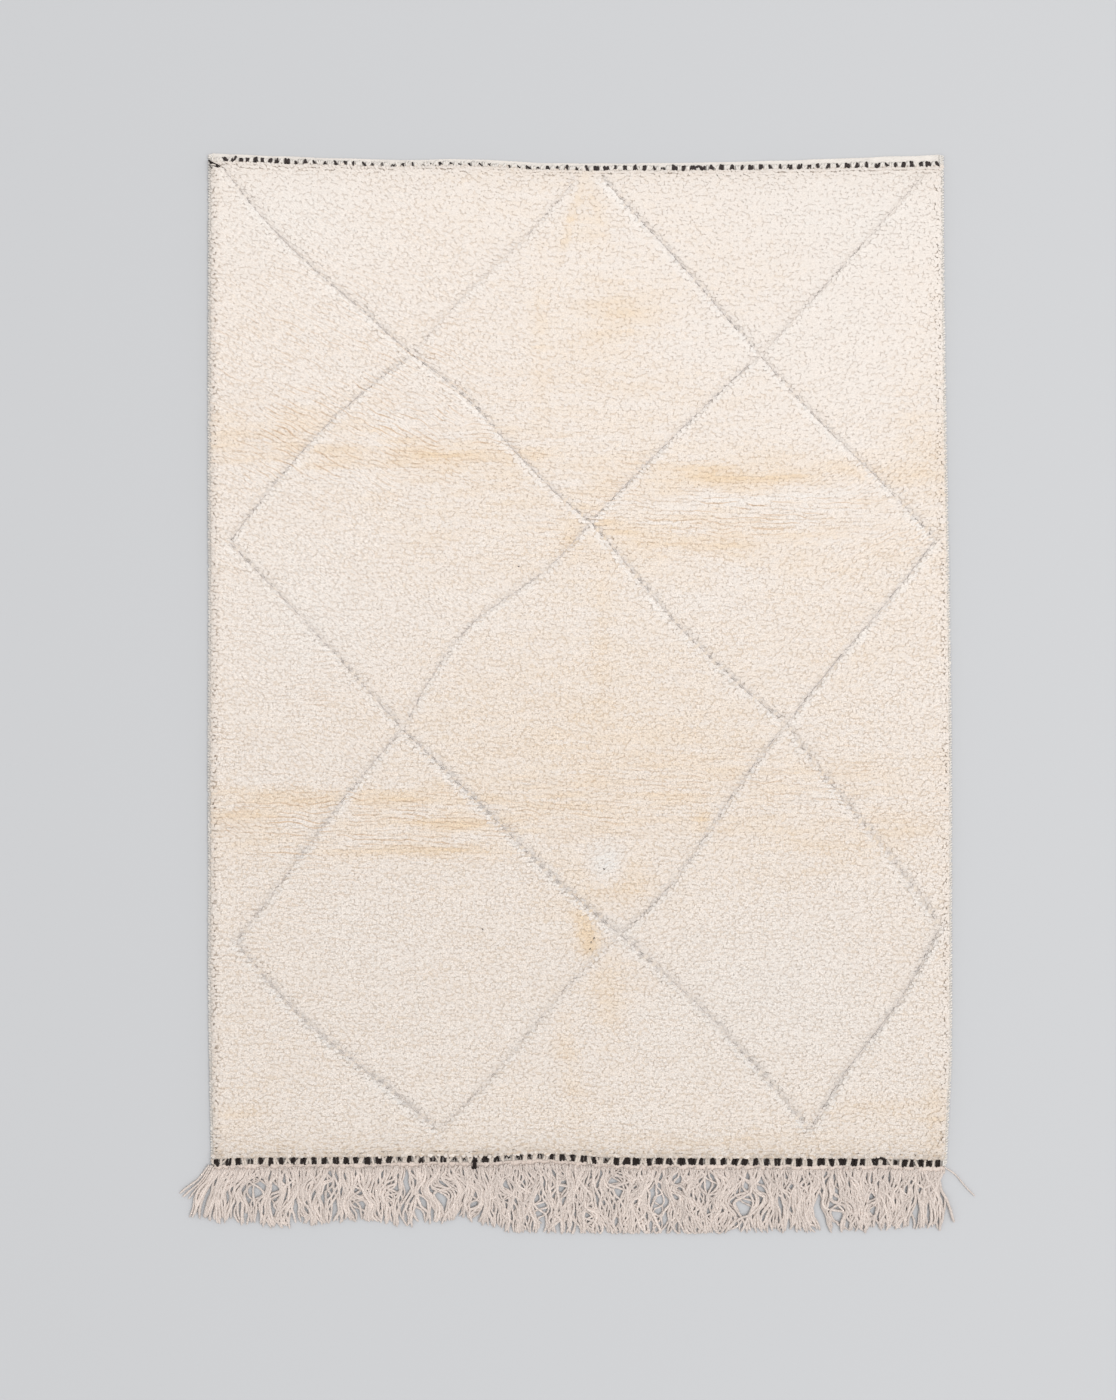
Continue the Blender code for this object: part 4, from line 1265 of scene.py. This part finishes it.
def buildOvercast(name, outerLine, outward):
    dice = np.random.default_rng(overcast["seed"] + (outward > 0))
    corner = outward * rug["width"] / 2
    low, high = lipEdge(corner) + overcast["endGap"], hemEdge(corner) - overcast["endGap"]
    middle = rug["selvedgeHeight"] / 2 - 0.0004
    ys = np.linspace(low, high, 150)
    wraps = []
    for inset, height in ((rug["selvedgeWidth"] / 2, middle), (rug["selvedgeWidth"], middle + 0.0016)):
        core = [(outerLine(y) - outward * inset, y, height) for y in ys]
        # the core cords are drawn darker: painted shade between the lumps
        wraps.append((np.array(core), overcast["core"], -0.10))
    # a pair of wraps makes each lump
    lumps = round((high - low) / overcast["lumpPitch"])
    angle = np.radians(np.linspace(205, -35, 7))
    swell = np.array([0.75, 1, 1, 1, 1, 1, 0.75])
    for k in range(lumps):
        y = low + (k + 0.5) * (high - low) / lumps + 0.0008 * dice.normal()
        for side in (-1, 1):
            at = y + side * 1.05 * overcast["yarn"] + 0.0003 * dice.normal()
            centre = outerLine(at) - outward * (rug["selvedgeWidth"] / 2 - 0.0003)
            arc = overcast["arc"] * (1 + 0.10 * dice.normal())
            slant = 0.0012 + 0.0006 * dice.normal()
            thick = overcast["yarn"] * (1 + 0.10 * dice.normal()) * swell
            path = [
                centre + outward * (arc + 0.0004) * np.cos(angle),
                at + slant * np.cos(angle),
                np.maximum(middle + arc * np.sin(angle), thick),
            ]
            wraps.append((np.stack(path, 1), thick, 0.05 * dice.normal()))
    piece = layYarns(name + "_overcast", wraps, edgeWool, sides=5, ply=0.05)
    dress(piece, name + "_selvedge")
    return piece


edgeWool = yarnWool("edgeWool", yarnTones["edge"])
leftOvercast = buildOvercast("left", leftSide, -1)
rightOvercast = buildOvercast("right", rightSide, 1)
print("sides overcast")

# the heading and the warp strands below it
fringe = {
    "headingWidth": 0.0140,
    "headingInset": 0.004,
    "warpPitch": 0.0074,
    "strands": 600,
    "yarn": 0.0028,
    "length": 0.128,
    "rootBack": 0.0070,
    "sway": 0.60,
    "wander": 1.1,
    "curl": 0.72,
    "lean": 0.36,
    "astray": 0.030,
    "holeShare": 1.3,
    "leftLean": 0.46,
    "mostTurn": 1.2,
    "layers": 0.0042,
    "overHeading": 0.0044,
    "sides": (-0.800, 0.780),
    "lowest": -1.100,
    "samples": 23,
    "seed": 47,
    # the line where the tips end: x, y
    "tips": [
        (-0.77, -1.064), (-0.60, -1.084), (-0.44, -1.067), (-0.36, -1.079), (-0.23, -1.066),
        (-0.13, -1.092), (0.08, -1.098), (0.26, -1.098), (0.33, -1.088), (0.50, -1.091),
        (0.66, -1.084), (0.79, -1.081),
    ],
    # strands lying outwards: x at the root and at the end, depth, bow, thickness
    "flared": [
        (-0.748, -0.808, 0.049, 0.006, 0.0024),
        (-0.744, -0.802, 0.056, 0.008, 0.0024),
        (-0.741, -0.790, 0.060, 0.005, 0.0023),
        (-0.737, -0.778, 0.066, 0.002, 0.0023),
        (0.744, 0.8075, 0.058, -0.004, 0.0016),
    ],
}

# partings: x, reach of the push, and how far down the strands it is widest
partings = [
    (-0.655, 0.015, 0.35), (-0.613, 0.006, 0.4), (-0.55, 0.006, 0.75), (-0.505, 0.005, 0.25),
    (-0.445, 0.012, 0.55), (-0.378, 0.009, 0.35), (-0.27, 0.016, 0.33), (-0.208, 0.008, 0.6),
    (-0.145, 0.006, 0.35), (-0.075, 0.01, 0.6), (-0.03, 0.006, 0.3), (0.025, 0.007, 0.75),
    (0.082, 0.013, 0.25), (0.118, 0.006, 0.4), (0.163, 0.008, 0.55), (0.2, 0.007, 0.3),
    (0.272, 0.008, 0.25), (0.34, 0.015, 0.5), (0.372, 0.006, 0.35), (0.525, 0.01, 0.6),
    (0.598, 0.006, 0.6), (0.668, 0.005, 0.45),
]


def headingFront(x):
    return lipEdge(x) - rug["gap"] - fringe["headingWidth"]


def openedUp(x, t):
    # the partings push the strands aside, so that they run round holes
    for centre, reach, deepest in partings:
        hole = fringe["holeShare"] * reach * hump(t, deepest, 0.20)
        away = x - centre
        push = np.clip(1 - np.abs(away) / (3.2 * hole + 1e-6), 0, 1)
        x = x + np.tanh(away / (0.25 * hole + 1e-6)) * hole * push
    return x


def strandEnd(root):
    longMiddle = 0.09 * hump(root, 0.08, 0.26)
    bunch = 0.10 * uneven(root, 0.0, 0.045, 31.0)
    return 0.93 + longMiddle + bunch + 0.06 * uneven(root, 0.0, 0.012, 33.0)


def strandPath(root, number, end, thick, dice):
    # a strand turns as it runs down: together with its neighbours, and by itself
    count, start = fringe["samples"], headingFront(root)
    step = 1.29 * end * fringe["length"] / (count - 1)
    x, y = root, start + fringe["rootBack"] * (0.6 + 0.9 * dice.random() ** 2)
    lean = fringe["lean"] * dice.normal()
    tangled = 1.0 + 1.3 * float(hump(root, 0.06, 0.30)) + 0.5 * float(hump(root, 0.55, 0.15))
    places = []
    for s in np.linspace(0, 1, count):
        places.append((x, y))
        together = fringe["sway"] * uneven(x, 0.8 * y, 0.060, 7.7)
        alone = fringe["wander"] * uneven(0.37 * number, 1.7 * s, 1.0, 21.0)
        alone += fringe["curl"] * tangled * uneven(0.37 * number, 5.0 * s, 1.0, 43.0)
        back = 1.4 * max(0.0, abs(x - root) / fringe["astray"] - 1.0) * (-1 if x > root else 1)
        aside = -fringe["leftLean"] * float(hump(root, -0.75, 0.10)) * (1 - 0.3 * s)
        free = min(1.0, 0.5 + 3.5 * s)
        loose = free * (1 - 0.45 * float(hump(root, -0.75, 0.06)))
        angle = loose * (together + alone + lean * (1 - 0.6 * s) + back) + aside
        angle = max(-fringe["mostTurn"], min(fringe["mostTurn"], angle))
        x, y = x + step * sin(angle), y - step * cos(angle)
    x, y = np.array(places).T
    # cut where it reaches the uneven line of the tips
    tip = np.interp(x, *np.array(fringe["tips"]).T) + 0.0035 * dice.normal()
    over = np.nonzero(y < tip)[0]
    if len(over):
        kept = np.linspace(0, max(over[0], 3), count)
        x, y = np.interp(kept, np.arange(count), x), np.interp(kept, np.arange(count), y)
    t = (headingFront(0.0) - y) / fringe["length"]
    x = openedUp(x, t)
    # strands lie over and under each other, and come down to the floor at their tips
    s = np.linspace(0, 1, count)
    layer = (0.45 + 0.9 * unevenAt(np.full(count, 0.37 * number), s, 1.0, 0.22, 53.0)).clip(0, 1)
    layer = layer * np.clip((1 - s) / 0.15 + 0.15, 0, 1)
    onHeading = fringe["overHeading"] * np.clip((0.03 - t) / 0.06, 0, 1)
    z = thick + fringe["layers"] * layer * np.clip((t + 0.02) / 0.14, 0.1, 1) + onHeading
    taper = np.interp(s, [0, 0.93, 0.98, 1.0], [1.0, 1.0, 0.85, 0.45])
    (left, right), low = fringe["sides"], fringe["lowest"]
    # lower strands and the roots by the heading are drawn darker: painted shade
    tone = 0.12 * (layer - 0.55) - 0.03 * hump(t, 0.0, 0.10)
    return np.stack([x.clip(left, right), y.clip(low), z], 1), thick * taper, tone


def buildStrands():
    dice = np.random.default_rng(fringe["seed"])
    first = leftSide(rug["fringeEndY"]) + 0.002
    last = rightSide(rug["fringeEndY"]) - 0.003
    pitch = (last - first) / fringe["strands"]
    strands = []
    for i in range(fringe["strands"]):
        root = first + pitch * (i + 0.5 + 0.25 * dice.normal())
        end = strandEnd(root) * max(0.6, 1 - 0.11 * max(0.0, dice.normal()) ** 2)
        thick = fringe["yarn"] * (1 + 0.10 * dice.normal())
        path, radii, shade = strandPath(root, i, end, thick, dice)
        strands.append((path, radii, shade + 0.05 * dice.normal()))
    return strands


def buildFlared():
    # strands that fell outwards at the two corners
    strands = []
    start = headingFront(0.0)
    for rootX, endX, depth, bow, thick in fringe["flared"]:
        t = np.linspace(0, 1, 14)
        x = rootX + (endX - rootX) * t
        ripple = 0.0015 * np.sin(9 * t + 40 * rootX)
        y = start + 0.006 - (depth + 0.006) * t - bow * np.sin(pi * t) + ripple
        z = thick + 0.0035 * np.clip(1 - 5 * t, 0, 1) + 0.0006
        taper = np.interp(t, [0, 0.9, 1.0], [1.0, 1.0, 0.5])
        strands.append((np.stack([x, y, z], 1), thick * taper, 0.02))
    return strands


def buildHeading():
    columns, rows, inset = 480, 10, fringe["headingInset"]
    x0, x1 = leftSide(rug["fringeEndY"]) + inset, rightSide(rug["fringeEndY"]) - inset
    u, v = (a.ravel() for a in np.meshgrid(np.linspace(0, 1, columns + 1), np.linspace(0, 1, rows + 1)))
    x = x0 + (x1 - x0) * u
    warps = np.abs(np.cos(pi * x / fringe["warpPitch"]))
    cords = warps**0.7
    back = lipEdge(x) + 0.0012
    front = headingFront(x) - 0.0008 * warps - 0.0006 * unevenAt(x, x, 0.02, 1.0, 3.0)
    y = front + (back - front) * v
    edge = np.sqrt(np.minimum(v * 5, 1))
    z = 0.0006 + 0.0030 * edge + 0.0007 * cords * edge + 0.0002 * unevenAt(x, y, 0.004, 0.004, 5.0)
    weave = clothWeave("headingWeave", yarnTones["heading"])
    piece, rim = closedSheet("fringe_heading", np.stack([x, y, z], 1), columns, rows, 0.0, weave)
    writeAttribute(piece, "weave", np.concatenate([cords, cords[rim]]))
    return piece


warpWool = yarnWool("warpWool", yarnTones["warp"], contrast=0.22)
heading = buildHeading()
loose = buildStrands() + buildFlared()
strands = layYarns("fringe_strands", loose, warpWool, sides=5, ply=0.10, twist=0.060)
for piece in (heading, strands):
    dress(piece, "fringe")
print("fringe laid")

# ends of black yarn: the tail, and start, end and thickness of those at the top left corner
looseEnds = {
    "tailX": -0.209,
    "tailLength": 0.0120,
    "yarn": 0.0024,
    "corner": [
        ((-0.7480, 1.0765), (-0.7235, 1.0615), 0.0020),
        ((-0.7450, 1.0715), (-0.7270, 1.0600), 0.0017),
        ((-0.7460, 1.0670), (-0.7395, 1.0575), 0.0011),
    ],
}
# the grey yarn in the lattice lines
latticeYarn = {"yarn": 0.0012, "lift": 0.0001, "dip": 0.0012, "step": 0.0055}
# dark flecks in the pile: x, y and turn in degrees
flecks = [
    (-0.119, 0.253, 20), (0.0335, -0.499, 70), (0.0274, -0.507, 80),
    (0.0254, -0.521, 60), (0.0538, -0.359, -40), (-0.192, -0.481, -50),
]


def buildTail():
    start = float(fringeFoot(looseEnds["tailX"])) - twine["setOff"] - twine["width"]
    lines = []
    for offset, lean in ((-0.0016, -0.0006), (0.0016, 0.0012)):
        t = np.linspace(-0.35, 1.0, 10)
        x = looseEnds["tailX"] + offset + lean * t + 0.0006 * np.sin(5 * t)
        z = np.interp(t, [-0.35, 0.0, 0.5, 1.0], [0.0095, 0.0102, 0.0117, 0.0120])
        thick = looseEnds["yarn"] * np.interp(t, [-0.35, 0.0, 0.9, 1.0], [0.9, 1.0, 1.15, 0.7])
        lines.append((np.stack([x, start - looseEnds["tailLength"] * t, z], 1), thick, 0.0))
    return layYarns("black_tail", lines, blackWool, sides=7, ply=0.12)


def buildCornerYarns():
    # ends of the top row's yarn, tucked over the corner
    lines = []
    for start, end, yarn in looseEnds["corner"]:
        t = np.linspace(0, 1, 12)
        x = start[0] + (end[0] - start[0]) * t
        y = start[1] + (end[1] - start[1]) * t + 0.0006 * np.sin(6 * t + 90 * start[1])
        z = 0.0105 + 0.0070 * np.sin(0.5 * pi * t)
        thick = yarn * np.interp(t, [0, 0.1, 0.8, 1.0], [0.7, 1.0, 1.0, 0.5])
        lines.append((np.stack([x, y, z], 1), thick, 0.0))
    return layYarns("corner_yarns", lines, blackWool, sides=6, ply=0.10, twist=0.060)


def buildCreases():
    # a thin grey yarn lies in each line of the lattice and dips under the tufts here and there
    creases = []
    for number, (row, line) in enumerate(zip(latticeLines, lattice)):
        plain, corners = row[4], np.array(line)
        run = np.concatenate([[0.0], np.cumsum(np.linalg.norm(np.diff(corners, axis=0), axis=1))])
        along = np.arange(0.004, run[-1] - 0.004, latticeYarn["step"])
        x, y = (np.interp(along, run, corners[:, axis]) for axis in (0, 1))
        side = unevenAt(along, 0 * along + number, 0.013, 1.0, 61.0)
        deep = unevenAt(along, 0 * along + number, 0.030, 1.0, 62.0)
        x, y = x + 0.0012 * side, y + 0.0010 * side
        z = pileTop(x, y, 0 * x) + latticeYarn["lift"] - 0.0004 * (y < -0.25)
        z = z + latticeYarn["dip"] * deep + 0.0016 * (plain - 1.05)
        thick = latticeYarn["yarn"] * (0.65 + 0.35 * plain) * (1 + 0.4 * deep)
        # the yarn is drawn darker where it dips into the pile and lighter where it rises: painted shade
        # and light
        creases.append((np.stack([x, y, z], 1), thick, 0.2 * deep))
    wool = yarnWool("latticeWool", yarnTones["lattice"])
    return layYarns("lattice_yarn", creases, wool, sides=5, ply=0.06)


def buildFlecks():
    # bits of dark wool caught in the pile
    lines = []
    for x, y, turn in flecks:
        away = np.linspace(-0.0022, 0.0022, 5)
        cosine, sine = cos(radians(turn)), sin(radians(turn))
        z = float(pileTop(np.array([x]), np.array([y]), np.array([0.05]))[0]) + 0.0012
        thick = 0.0011 * np.array([0.5, 0.9, 1.0, 0.9, 0.5])
        lines.append((np.stack([x + away * cosine, y + away * sine, z + 0 * away], 1), thick, 0.0))
    return layYarns("dark_flecks", lines, yarnWool("fleckWool", yarnTones["fleck"]), sides=5, ply=0.05)


tail = buildTail()
dress(tail, "yarn_tail")
corner = buildCornerYarns()
dress(corner)
creases = buildCreases()
dress(creases, "rug_body")
darkFlecks = buildFlecks()
dress(darkFlecks)
for piece in (bed, ground):
    dress(piece, "rug_body")
print("loose yarns and flecks laid")

# everything sewn or knotted to the ground weave, in one list
sewnOn = [bed, *pilePieces, *rows, leftOvercast, rightOvercast, heading, strands]
sewnOn += [tail, corner, creases, darkFlecks]
